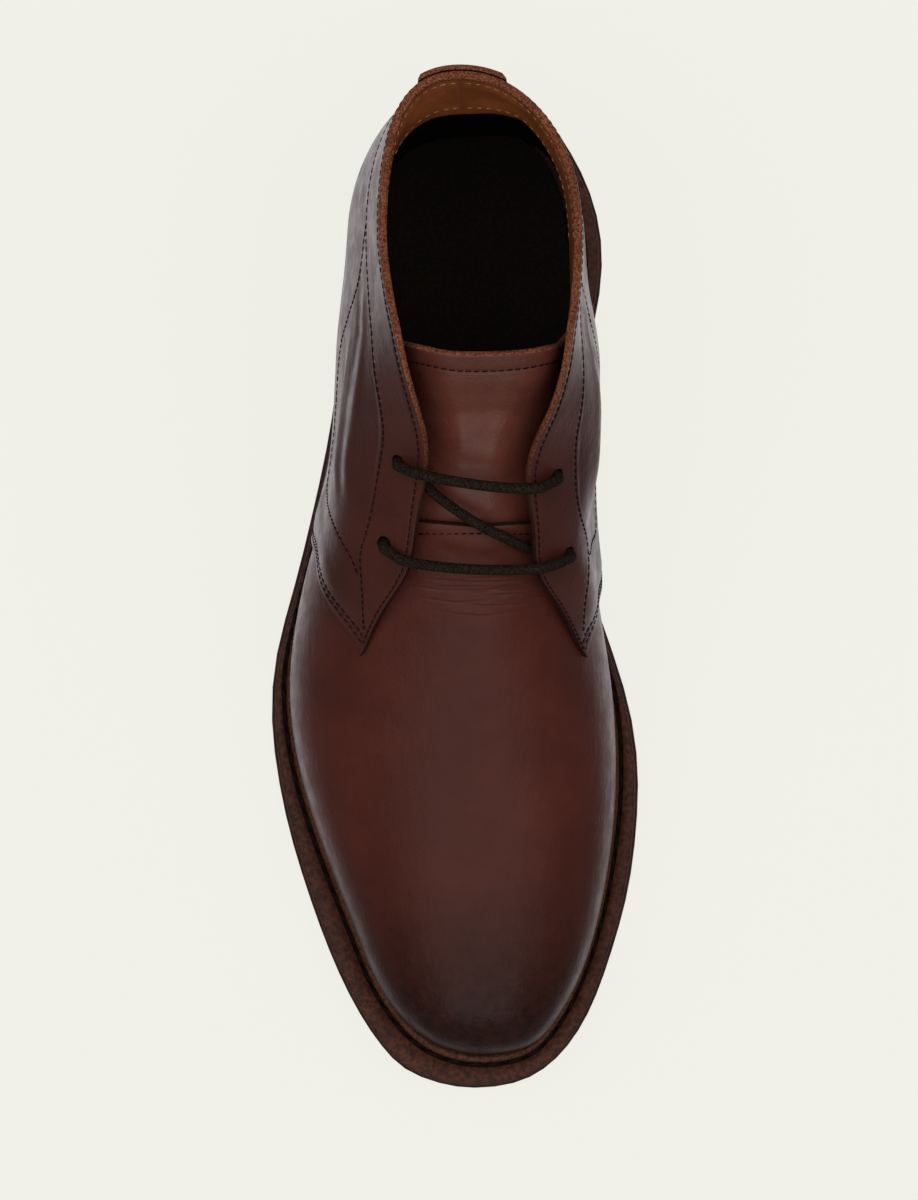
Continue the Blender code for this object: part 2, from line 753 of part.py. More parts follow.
def build_welt():
    """The storm welt: a ring under the upper's foot with a bead that hugs the upper."""
    bead_start = BEAD_CLEARANCE
    bead_end = bead_start + BEAD_WIDTH
    groove_end = bead_end + GROOVE_WIDTH
    edge = WELT_THICK - EDGE_BEVEL
    rows = [
        ("foot", -(VAMP_WALL + WELT_FLANGE), -WELT_THICK),
        ("sole", 0.0, -WELT_THICK),
        ("sole", 0.0, edge - WELT_THICK),
        ("sole", EDGE_BEVEL, 0.0),
        ("bead", groove_end, 0.0),
        ("bead", 0.5 * (groove_end + bead_end), -GROOVE_DEPTH),
        ("bead", bead_end, 0.0),
        ("bead", bead_start + 0.82 * BEAD_WIDTH, 0.75 * BEAD_HEIGHT),
        ("bead", bead_start + 0.50 * BEAD_WIDTH, BEAD_HEIGHT),
        ("bead", bead_start + 0.18 * BEAD_WIDTH, 0.75 * BEAD_HEIGHT),
        ("bead", bead_start, 0.0),
        ("foot", -(VAMP_WALL + WELT_FLANGE), 0.0),
    ]
    need = groove_end + WELT_STEP + EDGE_BEVEL

    def station(side, share):
        foot = foot_loop_point(side, share)
        inward = foot_inward(side, share)
        outer = sole_point(side, share, WELT_STEP)
        reach = max(1e-4, float(np.linalg.norm(outer - foot)))
        toward = (outer - foot) / reach
        room = min(1.0, reach / need)
        swell = smooth(reach, 0.7 * need, need) * smooth(along_at(foot[1]), 0.42, 0.52)

        def point(row):
            kind, distance, height = row
            if kind == "foot":
                x, y = foot - inward * distance
            elif kind == "sole":
                x, y = sole_point(side, share, WELT_STEP + distance)
            else:
                x, y = foot + toward * distance * room
                height = height * swell
            return x, y, welt_top(y) + height

        return point

    shares = np.linspace(0.0, 1.0, 37)
    pairs = [(station("medial", s), station("lateral", s)) for s in shares]
    welt = loop_solid("welt", pairs, rows, capped=False)
    return paint(shade(welt, 50.0), "welt_leather", (0.085, 0.032, 0.022), 0.5)


def build_insole():
    """The insole lies on the welt's flange, just inside the upper's wall."""
    inset = VAMP_WALL + INSOLE_CLEARANCE

    def station(side, share):
        def point(row):
            x, y = foot_loop_point(side, share) + foot_inward(side, share) * inset
            return x, y, foot_height(y) + row

        return point

    shares = np.linspace(0.0, 1.0, 33)
    pairs = [(station("medial", s), station("lateral", s)) for s in shares]
    insole = loop_solid("insole", pairs, [0.0, INSOLE_THICK])
    return paint(shade(insole), "insole_leather", (0.33, 0.16, 0.075), 0.6)


def build_vamp_shell():
    """The vamp: toe box and instep up to the throat, hidden under the quarters behind."""
    rear = {
        "lateral": lambda v: np.interp(v, VAMP_REAR_LEVELS, VAMP_REAR_LATERAL),
        "medial": lambda v: np.interp(v, VAMP_REAR_LEVELS, VAMP_REAR_MEDIAL),
    }
    toe = y_at(FORM_TOE)
    columns = 27
    lower = np.linspace(0.0, LOWER_SHARE, 3)
    upper = np.linspace(LOWER_SHARE, 1.0, 10)[1:]
    levels = np.concatenate([lower, upper])

    def line(side, share):
        points = []
        for level in levels:
            reach = y_at(float(rear[side](level))) - toe
            y = toe + reach * (1 - math.cos(0.5 * math.pi * share))
            points.append(vamp_point(side, y, level))
        foot = points[0].copy()
        foot[2] = foot_height(foot[1])
        return [foot] + points

    grid = []
    for share in np.linspace(0.0, 1.0, columns):
        medial = line("medial", share)
        grid.append(line("lateral", share) + medial[::-1][1:])
    shell = grid_sheet("vamp", grid)
    return applied(solidify(shell, VAMP_WALL, 0.0))


def front_along(side):
    table = SEAM_LATERAL if side == "lateral" else SEAM_MEDIAL
    return spline(SEAM_LEVELS, table)


SEAM = {side: front_along(side) for side in SIGN}
BAND = spline(BAND_STATIONS, BAND_LEVELS)


def quarter_knot(share, level):
    """A place along the wrap: share -1 is the lateral front seam, 0 the back, 1 the medial."""
    side = "lateral" if share < 0 else "medial"
    front = knot_at(y_at(float(SEAM[side](level))), "lateral")
    knot = BACK_KNOT + (front - BACK_KNOT) * abs(share)
    return knot if side == "lateral" else 2 * BACK_KNOT - knot


def build_quarter_shell():
    """Both quarters in one wall round the heel, with the collar band as a step in it."""
    columns = 49
    step = 0.012
    grid = []
    for share in np.linspace(-1.0, 1.0, columns):
        band = float(BAND(1 - abs(share)))
        levels = list(np.linspace(0.0, band - step, 8)) + [band + step]
        levels += list(np.linspace(band + step, 1.0, 4)[1:])
        line = []
        for level in levels:
            raised = COLLAR_BAND_STEP if level > band else 0.0
            line.append(quarter_point(quarter_knot(share, level), level, raised))
        foot = line[0].copy()
        foot[2] = foot_height(foot[1])
        grid.append([foot] + line)
    shell = grid_sheet("quarters", grid)
    return applied(solidify(shell, QUARTER_WALL, 1 - QUARTER_SINK / QUARTER_WALL))


FLAP_FACE = QUARTER_WALL - QUARTER_SINK + COLLAR_BAND_STEP
FLAP_BACK = -QUARTER_SINK


def eyelet_frame(side, along, half):
    """Centre of a hole on the flap's face as seen from above, and the direction out of it."""
    target = y_at(along)
    y = target
    levels = np.linspace(0.3, 1.0, 40)
    for _ in range(4):
        knot = knot_at(y, side)
        line = np.array([quarter_point(knot, v, FLAP_FACE) for v in levels])
        halves = SIGN[side] * (line[:, 0] - MIDLINE_X)
        level = float(np.interp(-half * BALL_WIDTH, -halves, levels))
        y += target - float(np.interp(level, levels, line[:, 1]))
    return quarter_point(knot, level, FLAP_FACE), wrap_normal(knot, level), knot, level


def eyelet_cutter(centre, normal):
    """A punch through the flap alone."""
    depth = QUARTER_WALL + 2 * LACE_CLEARANCE + 0.002
    bm = bmesh.new()
    bmesh.ops.create_cone(
        bm, cap_ends=True, segments=20, radius1=LACE_HOLE / 2, radius2=LACE_HOLE / 2, depth=depth
    )
    turn = Vector(normal).to_track_quat("Z", "Y").to_matrix().to_4x4()
    middle = Vector(centre) - Vector(normal) * QUARTER_WALL / 2
    bm.transform(Matrix.Translation(middle) @ turn)
    mesh = bpy.data.meshes.new("punch")
    bm.to_mesh(mesh)
    bm.free()
    cutter = bpy.data.objects.new("punch", mesh)
    cutter.hide_render = True
    cutter.display_type = "WIRE"
    bpy.context.scene.collection.objects.link(cutter)
    return cutter


def build_upper():
    """The hollow upper: vamp and quarters in one wall, open at collar, throat and foot."""
    upper = build_quarter_shell()
    combine(upper, build_vamp_shell(), "UNION")
    for _, lat_along, lateral, med_along, medial in EYELETS:
        for side, along, half in (("lateral", lat_along, lateral), ("medial", med_along, medial)):
            centre, normal, _, _ = eyelet_frame(side, along, half)
            combine(upper, eyelet_cutter(centre, normal), "DIFFERENCE")
    fill_pockets(upper)
    upper.name = "upper"
    return paint(shade(upper), "upper_leather", (0.075, 0.026, 0.019), 0.42)


def build_backstay():
    """The strip over the back seam, from the welt to the collar."""
    face = QUARTER_WALL - QUARTER_SINK + COLLAR_BAND_STEP + GAP
    grid = []
    columns = 9
    levels = np.linspace(0.06, 1.0, 10)
    for share in np.linspace(-1.0, 1.0, columns):
        line = []
        for level in levels:
            width = BACKSTAY_FOOT_WIDTH + (BACKSTAY_TOP_WIDTH - BACKSTAY_FOOT_WIDTH) * level
            knot = BACK_KNOT + 0.5 * share * width
            line.append(quarter_point(knot, level, face))
        grid.append(line)
    sheet = grid_sheet("backstay", grid)
    backstay = applied(solidify(sheet, BACKSTAY_WALL, 1.0))
    return paint(shade(backstay), "backstay_leather", (0.070, 0.024, 0.018), 0.42)


TONGUE_MIDDLE = spline(
    column(TONGUE, TONGUE_COLUMNS, "along"), column(TONGUE, TONGUE_COLUMNS, "height")
)
TONGUE_PLACES = (
    ("lateral", -1.0, 0.0), ("lateral", -0.72, 0.5), ("lateral", -0.42, 1.0),
    ("medial", 0.42, 1.0), ("medial", 0.72, 0.5), ("medial", 1.0, 0.0),
)


def tongue_point(along, across):
    """The tongue's face: across -1 and 1 are its side edges, under the flaps."""
    y = y_at(along)
    middle = float(TONGUE_MIDDLE(along)) * COLLAR_HEIGHT
    if along > THROAT_ALONG:
        middle = form_row(y)["ridge_height"]
    points = [
        wrap_point(knot_at(y, side), TONGUE_REACH + (1 - TONGUE_REACH) * share)
        for side, _, share in TONGUE_PLACES
    ]
    places = [place for _, place, _ in TONGUE_PLACES]
    points.insert(3, np.array([MIDLINE_X, y, middle]))
    places.insert(3, 0.0)
    return spline(places, points)(across)


def build_tongue():
    """The tongue, from under the vamp's throat to just above the collar's front."""
    start = THROAT_ALONG + TONGUE_UNDERLAP / SOLE_LENGTH
    grid = []
    for share in np.linspace(0.0, 1.0, 12):
        line = []
        for across in np.linspace(-1.0, 1.0, 15):
            top = TONGUE_TOP_MIDDLE + (TONGUE_TOP_SIDE - TONGUE_TOP_MIDDLE) * across**2
            line.append(tongue_point(start + (top - start) * share, across))
        grid.append(line)
    points = np.array(grid)
    along = np.gradient(points, axis=0)
    across = np.gradient(points, axis=1)
    normal = np.cross(across, along)
    normal /= np.linalg.norm(normal, axis=2, keepdims=True)
    sheet = grid_sheet("tongue", (points - normal * TONGUE_DROP).tolist())
    tongue = applied(solidify(sheet, TONGUE_WALL, 0.0))
    return paint(shade(tongue), "tongue_leather", (0.085, 0.030, 0.021), 0.4)


def eased(points):
    """A smooth line inside the corners of a run of points."""
    line = np.array(points, float)
    for _ in range(3):
        near = 0.75 * line[:-1] + 0.25 * line[1:]
        far = 0.25 * line[:-1] + 0.75 * line[1:]
        cut = np.stack([near, far], axis=1).reshape(-1, 3)
        line = np.concatenate([line[:1], cut[1:-1], line[-1:]])
    return line


def tube(name, points, radius, spacing):
    """A closed round tube along a line, with flat ends."""
    lengths = np.linalg.norm(np.diff(points, axis=0), axis=1)
    reach = np.concatenate([[0.0], np.cumsum(lengths)])
    count = int(reach[-1] / spacing)
    curve = bpy.data.curves.new(name, "CURVE")
    curve.dimensions = "3D"
    curve.bevel_depth = radius
    curve.bevel_resolution = 1
    curve.use_fill_caps = True
    path = curve.splines.new("POLY")
    path.points.add(count)
    for i, place in enumerate(np.linspace(0.0, reach[-1], count + 1)):
        spot = [np.interp(place, reach, points[:, k]) for k in range(3)]
        path.points[i].co = (*spot, 1.0)
    drawn = bpy.data.objects.new(name, curve)
    bpy.context.scene.collection.objects.link(drawn)
    graph = bpy.context.evaluated_depsgraph_get()
    mesh = bpy.data.meshes.new_from_object(drawn.evaluated_get(graph))
    bpy.data.objects.remove(drawn)
    bm = bmesh.new()
    bm.from_mesh(mesh)
    bmesh.ops.remove_doubles(bm, verts=bm.verts, dist=1e-5)
    bmesh.ops.recalc_face_normals(bm, faces=bm.faces)
    bm.to_mesh(mesh)
    bm.free()
    solid = bpy.data.objects.new(name, mesh)
    bpy.context.scene.collection.objects.link(solid)
    return solid


LACE_OFFSET = 0.5 * LACE_DIAMETER + LACE_CLEARANCE


def flap_place(side, along, level, height):
    """A point over or under a flap, at a height above the sheet it is made from."""
    return quarter_point(knot_at(y_at(along), side), level, height)


def vamp_place(along, half):
    """A point over the vamp where the lace lies across it, half measured to medial."""
    y = y_at(along)
    row = form_row(y)
    across = half * BALL_WIDTH - row["ridge_across"]
    share = abs(across) / (row["wide_medial"] - row["ridge_across"])
    point = arch_point(row, y, "medial", math.acos(share ** (VAMP_FULLNESS / 2)))
    return point + np.array([0.0, 0.0, LACE_OFFSET + 0.25 * LACE_DIAMETER])


def lace_turn(name, side, along, half, over_end, under_end):
    """The lace's corners through one eyelet, from over the flap to under it."""
    centre, normal, _, _ = eyelet_frame(side, along, half)
    over = over_end - centre
    over -= normal * normal.dot(over)
    under = under_end - centre
    under -= normal * normal.dot(under)
    over /= np.linalg.norm(over)
    under /= np.linalg.norm(under)
    top = centre + normal * LACE_OFFSET
    foot = centre - normal * (FLAP_FACE - FLAP_BACK + LACE_OFFSET)
    return [top + over * LACE_TURN, top, foot, foot + under * LACE_TURN]


def build_lace():
    """One cord: a top bar, a diagonal under it and a bottom bar, with both ends hidden."""
    height = FLAP_FACE + LACE_OFFSET
    below = FLAP_BACK - LACE_OFFSET
    holes = {}
    for name, lat_along, lateral, med_along, medial in EYELETS:
        holes[name, "lateral"] = (lat_along, lateral)
        holes[name, "medial"] = (med_along, medial)

    bars = {}
    over_edge = height + 0.3 * LACE_DIAMETER
    for name, lateral_along, medial_along, middle_along, sag in LACE_BARS:
        left = flap_place("lateral", lateral_along, 1.0, over_edge)
        right = flap_place("medial", medial_along, 1.0, over_edge)
        middle = 0.5 * (left + right)
        middle[1] = y_at(middle_along)
        middle[2] -= sag
        bars[name] = left, middle, right

    exit_along, entry_along = LACE_DIAGONAL
    leave = flap_place("lateral", exit_along, 1.0, below)
    enter = flap_place("medial", entry_along, 1.0, below)
    tail_a = flap_place("medial", LACE_END_TOP[0], LACE_END_TOP[1], below)
    tail_b = flap_place("lateral", LACE_END_BOTTOM[0], LACE_END_BOTTOM[1], below)

    def turn(name, side, over_end, under_end):
        return lace_turn(name, side, *holes[name, side], over_end, under_end)

    top, bottom = bars["top"], bars["bottom"]
    line = [tail_a]
    line += turn("top", "medial", top[2], tail_a)[::-1]
    line += [top[2], top[1], top[0]]
    line += turn("top", "lateral", top[0], leave)
    line += [leave] + [vamp_place(*place) for place in LACE_OVER_VAMP] + [enter]
    line += turn("bottom", "medial", bottom[2], enter)[::-1]
    line += [bottom[2], bottom[1], bottom[0]]
    line += turn("bottom", "lateral", bottom[0], tail_b)
    line += [tail_b]
    lace = tube("lace", eased(line), LACE_DIAMETER / 2, 0.7 * LACE_DIAMETER)
    return paint(shade(lace, 60.0), "waxed_lace", (0.022, 0.018, 0.016), 0.7)


def clear_scene():
    for obj in list(bpy.data.objects):
        bpy.data.objects.remove(obj)


def collect(name):
    """Moves every part into the boot's own collection."""
    boot = bpy.data.collections.new(name)
    bpy.context.scene.collection.children.link(boot)
    for obj in list(bpy.context.scene.collection.objects):
        boot.objects.link(obj)
        bpy.context.scene.collection.objects.unlink(obj)


def main():
    clear_scene()
    build_outsole()
    build_heel()
    build_welt()
    build_insole()
    build_upper()
    build_backstay()
    build_tongue()
    build_lace()
    collect("chukka_boot")


main()
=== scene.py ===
# %% [markdown]
# # A brown chukka boot, seen from above
#
# The boot is a right one: a plain vamp, two quarters with wide facings, a tongue, a round
# lace in two pairs of holes, a storm welt, a rubber outsole and a stacked heel. The packed
# CAD model is the frame: it says where every piece is. This file adds the leather, its
# seams and its folds around that frame, one piece after another.

import math

import bmesh
import bpy
import numpy as np
from mathutils import Matrix, Vector


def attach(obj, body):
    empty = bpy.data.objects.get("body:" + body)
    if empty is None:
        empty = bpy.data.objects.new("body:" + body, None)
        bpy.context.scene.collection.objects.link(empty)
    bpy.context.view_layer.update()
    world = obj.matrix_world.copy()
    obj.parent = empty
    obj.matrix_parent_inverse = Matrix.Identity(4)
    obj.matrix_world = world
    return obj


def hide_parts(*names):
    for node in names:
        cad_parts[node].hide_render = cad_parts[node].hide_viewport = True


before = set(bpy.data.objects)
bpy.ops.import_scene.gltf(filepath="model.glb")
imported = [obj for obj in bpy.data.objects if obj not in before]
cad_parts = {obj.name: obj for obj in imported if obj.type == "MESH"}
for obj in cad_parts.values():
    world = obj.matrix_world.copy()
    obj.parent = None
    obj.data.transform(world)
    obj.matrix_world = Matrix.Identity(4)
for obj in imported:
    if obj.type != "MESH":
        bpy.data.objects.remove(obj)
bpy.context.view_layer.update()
print("nodes:", ", ".join(sorted(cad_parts)))

# %% [markdown]
# ## Camera
#
# The photograph looks straight down on a boot that stands on its sole, with the toe at
# the bottom of the picture. A long lens from a little over a metre gives its mild
# perspective: the collar is drawn about a tenth larger than the sole. The focal length
# is worked out for a picture of 918 by 1200 pixels, whose long side takes the sensor.

# %% Camera
PHOTO_HEIGHT = 1200
FOCAL_PIXELS = 3968
SENSOR = 36.0
CAMERA_PLACE = (0.0013, -0.0043, 1.2)

camera_data = bpy.data.cameras.new("camera")
camera_data.sensor_width = SENSOR
camera_data.lens = SENSOR * FOCAL_PIXELS / PHOTO_HEIGHT
camera = bpy.data.objects.new("camera", camera_data)
camera.location = CAMERA_PLACE
bpy.context.scene.collection.objects.link(camera)
bpy.context.scene.camera = camera
print("lens in mm:", round(camera_data.lens, 1))

# %% [markdown]
# ## The sizes of the boot
#
# These are the sizes and tables that the CAD model was built from, in metres and in
# shares of the named sizes. Repeating them here lets each leather be drawn again with
# many more points, exactly where its solid is. "along" runs from 0 at the back of the
# sole to 1 at its toe. Medial, the inner side of a right boot, is +X.

# %% Sizes
SOLE_LENGTH = 0.300
BALL_WIDTH = 0.110
COLLAR_HEIGHT = 0.125
INSTEP_HEIGHT = 0.0915
MIDLINE_X = 0.006
GAP = 0.0004

TOE_SPRING = 0.009
HEEL_LIFT = 0.0175
OUTSOLE_THICK = 0.0065
WELT_THICK = 0.0032
WELT_STEP = 0.0012
WELT_FLANGE = 0.0040
EDGE_BEVEL = 0.0007
BEAD_WIDTH = 0.0028
BEAD_HEIGHT = 0.0022
BEAD_CLEARANCE = 0.0005
GROOVE_WIDTH = 0.0014
GROOVE_DEPTH = 0.0009

VAMP_WALL = 0.0022
QUARTER_WALL = 0.0026
QUARTER_SINK = 0.0006
COLLAR_BAND_STEP = 0.0005
FLAP_LIFT = 0.0046
FOOT_BAND = 0.0020
VAMP_FULLNESS = 2.15
LOWER_SHARE = 0.14
LOW_LEVEL = 0.36
HIGH_LEVEL = 0.68
THROAT_ALONG = 0.4467
BACKSTAY_WALL = 0.0013
BACKSTAY_TOP_WIDTH = 0.0255
BACKSTAY_FOOT_WIDTH = 0.0300
TONGUE_WALL = 0.0020
TONGUE_DROP = 0.0030
TONGUE_UNDERLAP = 0.0120

LACE_DIAMETER = 0.0030
LACE_HOLE = 0.0044
LACE_CLEARANCE = 0.0005
LACE_TURN = 0.0050
SIGN = {"lateral": -1.0, "medial": 1.0}
MM = 0.001
print("sole in mm:", round(SOLE_LENGTH / MM), "by", round(BALL_WIDTH / MM))

# %% Tables of the sole and the form
SOLE_OUTLINE_COLUMNS = ("along", "lateral", "medial")
SOLE_OUTLINE = (
    (1.000, 0.000, 0.000),
    (0.993, 0.118, 0.126),
    (0.983, 0.182, 0.181),
    (0.963, 0.244, 0.243),
    (0.923, 0.320, 0.314),
    (0.863, 0.399, 0.376),
    (0.803, 0.459, 0.420),
    (0.743, 0.508, 0.442),
    (0.683, 0.541, 0.446),
    (0.623, 0.555, 0.423),
    (0.563, 0.538, 0.374),
    (0.500, 0.492, 0.316),
    (0.433, 0.445, 0.277),
    (0.360, 0.400, 0.268),
    (0.283, 0.368, 0.297),
    (0.200, 0.348, 0.340),
    (0.133, 0.320, 0.328),
    (0.072, 0.259, 0.258),
    (0.030, 0.180, 0.172),
    (0.010, 0.107, 0.100),
    (0.000, 0.000, 0.000),
)
UNDERSIDE_COLUMNS = ("along", "heel_lift", "toe_spring")
UNDERSIDE = (
    (0.00, 1.000, 0.000),
    (0.12, 1.000, 0.000),
    (0.20, 0.975, 0.000),
    (0.27, 0.900, 0.000),
    (0.34, 0.710, 0.000),
    (0.41, 0.440, 0.000),
    (0.48, 0.180, 0.000),
    (0.54, 0.030, 0.000),
    (0.58, 0.000, 0.000),
    (0.73, 0.000, 0.000),
    (0.80, 0.000, 0.090),
    (0.88, 0.000, 0.350),
    (0.94, 0.000, 0.640),
    (1.00, 0.000, 1.000),
)
LAST_HEEL_ROW = 8
FORM_COLUMNS = (
    "along", "foot_lateral", "foot_medial", "wide_lateral", "wide_medial",
    "rise", "ridge_across", "ridge_height",
)
FORM = (
    (0.9627, -0.023, 0.023, -0.023, 0.023, 0.050, 0.023, 0.262),
    (0.9533, 0.096, 0.146, 0.101, 0.151, 0.058, 0.022, 0.377),
    (0.9313, 0.176, 0.204, 0.185, 0.213, 0.065, 0.018, 0.455),
    (0.8880, 0.257, 0.268, 0.269, 0.280, 0.072, 0.013, 0.515),
    (0.8360, 0.315, 0.315, 0.328, 0.328, 0.074, 0.008, 0.552),
    (0.7650, 0.389, 0.351, 0.403, 0.365, 0.076, 0.004, 0.603),
    (0.6723, 0.464, 0.367, 0.478, 0.381, 0.078, 0.000, 0.682),
    (0.5953, 0.484, 0.345, 0.499, 0.367, 0.082, 0.000, 0.770),
    (0.5267, 0.461, 0.305, 0.477, 0.338, 0.092, 0.000, 0.866),
    (0.4647, 0.418, 0.268, 0.436, 0.312, 0.103, 0.000, 0.966),
    (0.3900, 0.362, 0.245, 0.377, 0.296, 0.114, 0.000, 1.105),
    (0.3300, 0.336, 0.247, 0.356, 0.300, 0.123, 0.000, 1.240),
    (0.2800, 0.325, 0.266, 0.348, 0.303, 0.130, 0.000, 1.345),
    (0.2333, 0.316, 0.277, 0.339, 0.303, 0.135, 0.000, 1.400),
    (0.1833, 0.303, 0.275, 0.324, 0.296, 0.138, 0.000, 1.420),
)
print("sections of the form:", len(FORM))

# %% Tables of the quarters, the back seam and the tongue
FACING_COLUMNS = ("along", "lateral", "medial")
FACING = (
    (0.5690, 0.293, 0.279),
    (0.5267, 0.226, 0.200),
    (0.4867, 0.155, 0.126),
    (0.4467, 0.127, 0.110),
)
QUARTER_COLUMNS = (
    "along", "low_lateral", "low_medial", "high_lateral", "high_medial",
    "edge_lateral", "edge_medial", "edge_height",
)
QUARTER = (
    (0.3900, 0.353, 0.287, 0.275, 0.245, 0.092, 0.094, 0.785),
    (0.3300, 0.332, 0.295, 0.258, 0.258, 0.110, 0.148, 0.885),
    (0.2800, 0.325, 0.300, 0.265, 0.272, 0.171, 0.210, 0.960),
    (0.2333, 0.315, 0.300, 0.260, 0.275, 0.203, 0.232, 0.985),
    (0.1833, 0.300, 0.293, 0.257, 0.271, 0.219, 0.239, 0.982),
)
BACK_COLUMNS = ("level", "along", "lean", "fullness")
BACK = (
    ("foot", 0.0383, -0.005, 2.2),
    ("wide", 0.0257, -0.010, 2.1),
    ("low", 0.0300, -0.018, 2.15),
    ("high", 0.0400, -0.029, 2.2),
    ("edge", 0.0440, -0.040, 2.25),
)
BACK_EDGE_HEIGHT = 0.987
BACK_RISE = 0.138
TONGUE_COLUMNS = ("along", "height")
TONGUE = (
    (0.4467, 0.732),
    (0.3900, 0.806),
    (0.3300, 0.908),
    (0.2900, 0.988),
    (0.2740, 1.012),
)
TONGUE_TOP_MIDDLE = 0.2900
TONGUE_TOP_SIDE = 0.2760
TONGUE_REACH = 0.66
EYELET_COLUMNS = ("name", "lateral_along", "lateral", "medial_along", "medial")
EYELETS = (
    ("top", 0.3870, 0.197, 0.3990, 0.206),
    ("bottom", 0.4620, 0.235, 0.4710, 0.241),
)
LACE_BAR_COLUMNS = ("name", "lateral_along", "medial_along", "middle_along", "sag")
LACE_BARS = (
    ("top", 0.3870, 0.4000, 0.4090, 0.0004),
    ("bottom", 0.4680, 0.4755, 0.4870, 0.0006),
)
LACE_DIAGONAL = (0.4130, 0.4640)
LACE_OVER_VAMP = ((0.4480, 0.020), (0.4560, 0.075))
LACE_END_TOP = (0.370, 0.80)
LACE_END_BOTTOM = (0.422, 0.86)
print("sections of the quarters:", len(FACING) + len(QUARTER), "levels of the back:", len(BACK))

# %% [markdown]
# ## The form under the leather
#
# A shoemaker pulls the leather over a last. Here the last is a set of curves through the
# rows of the tables: natural splines, which bend as little as they can. The functions
# take whole arrays, so a leather with fifty thousand points is worked out at once. The
# form could be sculpted too, but curves keep each leather exactly where its solid is.


# %% Curves
def column(table, names, name):
    """One named column of a table, as an array."""
    return np.array([row[names.index(name)] for row in table], float)


def rows_of(table, names):
    """The rows of a table, each with its columns' names."""
    return [dict(zip(names, row)) for row in table]


def spline(knots, values):
    """A natural cubic spline through the values, as a function of arrays."""
    order = np.argsort(knots)
    x = np.asarray(knots, float)[order]
    y = np.asarray(values, float)[order]
    step = np.diff(x)
    matrix = np.eye(len(x))
    right = np.zeros_like(y)
    for i in range(1, len(x) - 1):
        matrix[i, i - 1 : i + 2] = step[i - 1], 2 * (step[i - 1] + step[i]), step[i]
        right[i] = 6 * ((y[i + 1] - y[i]) / step[i] - (y[i] - y[i - 1]) / step[i - 1])
    bend = np.linalg.solve(matrix, right)

    def at(t):
        t = np.asarray(t, float)
        i = np.clip(np.searchsorted(x, t) - 1, 0, len(x) - 2)
        shape = t.shape + (1,) * (y.ndim - 1)
        a, b, h = (v.reshape(shape) for v in (x[i + 1] - t, t - x[i], step[i]))
        curved = (bend[i] * a**3 + bend[i + 1] * b**3) / (6 * h)
        before, after = y[i] / h - bend[i] * h / 6, y[i + 1] / h - bend[i + 1] * h / 6
        return curved + before * a + after * b

    return at


def smooth(value, low, high):
    """0 below low, 1 above high and an even S between them."""
    t = np.clip((np.asarray(value, float) - low) / (high - low), 0.0, 1.0)
    return t * t * (3 - 2 * t)


def y_at(along):
    """The place from toe to heel in metres."""
    return SOLE_LENGTH * (0.5 - np.asarray(along, float))


def along_at(y):
    """The share of the sole's length, from its back, at a place in metres."""
    return 0.5 - np.asarray(y, float) / SOLE_LENGTH


def up_by(height):
    """A step straight up, for one height or an array of them."""
    return np.asarray(height, float)[..., None] * np.array([0.0, 0.0, 1.0])


print("throat from the middle of the sole in mm:", round(float(y_at(THROAT_ALONG)) / MM, 1))

# %% Curves of the sole and the form
FORM_TOE = FORM[0][0]
FORM_BACK = BACK[1][1]


def sole_turn(along):
    """0 at the toe and 1 at the heel, opening like a circle at both round ends."""
    return np.arccos(np.clip(2 * np.asarray(along, float) - 1, -1, 1)) / math.pi


def form_turn(along):
    """The same variable for the form, whose toe lies behind the sole's."""
    share = (np.asarray(along, float) - FORM_BACK) / (FORM_TOE - FORM_BACK)
    return np.arccos(np.clip(2 * share - 1, -1, 1)) / math.pi


def table_splines(table, names, variable):
    """A spline for each column of a table, over a variable of its first column."""
    knots = [float(variable(a)) for a in column(table, names, "along")]
    return {n: spline(knots, column(table, names, n)) for n in names if n != "along"}


SOLE_CURVES = table_splines(SOLE_OUTLINE, SOLE_OUTLINE_COLUMNS, sole_turn)
FORM_CURVES = table_splines(FORM, FORM_COLUMNS, form_turn)
UNDER_ALONG = column(UNDERSIDE, UNDERSIDE_COLUMNS, "along")
HEEL_PART = slice(0, LAST_HEEL_ROW + 1)
TOE_PART = slice(LAST_HEEL_ROW + 1, None)
HEEL_CURVE = spline(
    UNDER_ALONG[HEEL_PART], column(UNDERSIDE, UNDERSIDE_COLUMNS, "heel_lift")[HEEL_PART]
)
TOE_CURVE = spline(
    UNDER_ALONG[TOE_PART], column(UNDERSIDE, UNDERSIDE_COLUMNS, "toe_spring")[TOE_PART]
)


print("toe of the form as a share of the sole:", FORM_TOE)


# %% Heights of the underside, the welt and the foot
def underside(y):
    """Height of the outsole's underside: flat under the ball, up at the toe and the heel."""
    along = np.clip(along_at(y), 0.0, 1.0)
    heel = HEEL_LIFT * np.clip(HEEL_CURVE(along), 0.0, 1.0)
    toe = TOE_SPRING * np.maximum(TOE_CURVE(along), 0.0)
    heel = np.where(along <= UNDER_ALONG[LAST_HEEL_ROW], heel, 0.0)
    return heel + np.where(along >= UNDER_ALONG[LAST_HEEL_ROW + 1], toe, 0.0)


def welt_top(y):
    """The height that the upper is sewn at."""
    return underside(y) + OUTSOLE_THICK + GAP + WELT_THICK


def foot_height(y):
    """Where the upper and the insole stand, just clear of the welt."""
    return welt_top(y) + GAP


print("welt above the floor at the heel in mm:", round(float(welt_top(y_at(0.0))) / MM, 1))


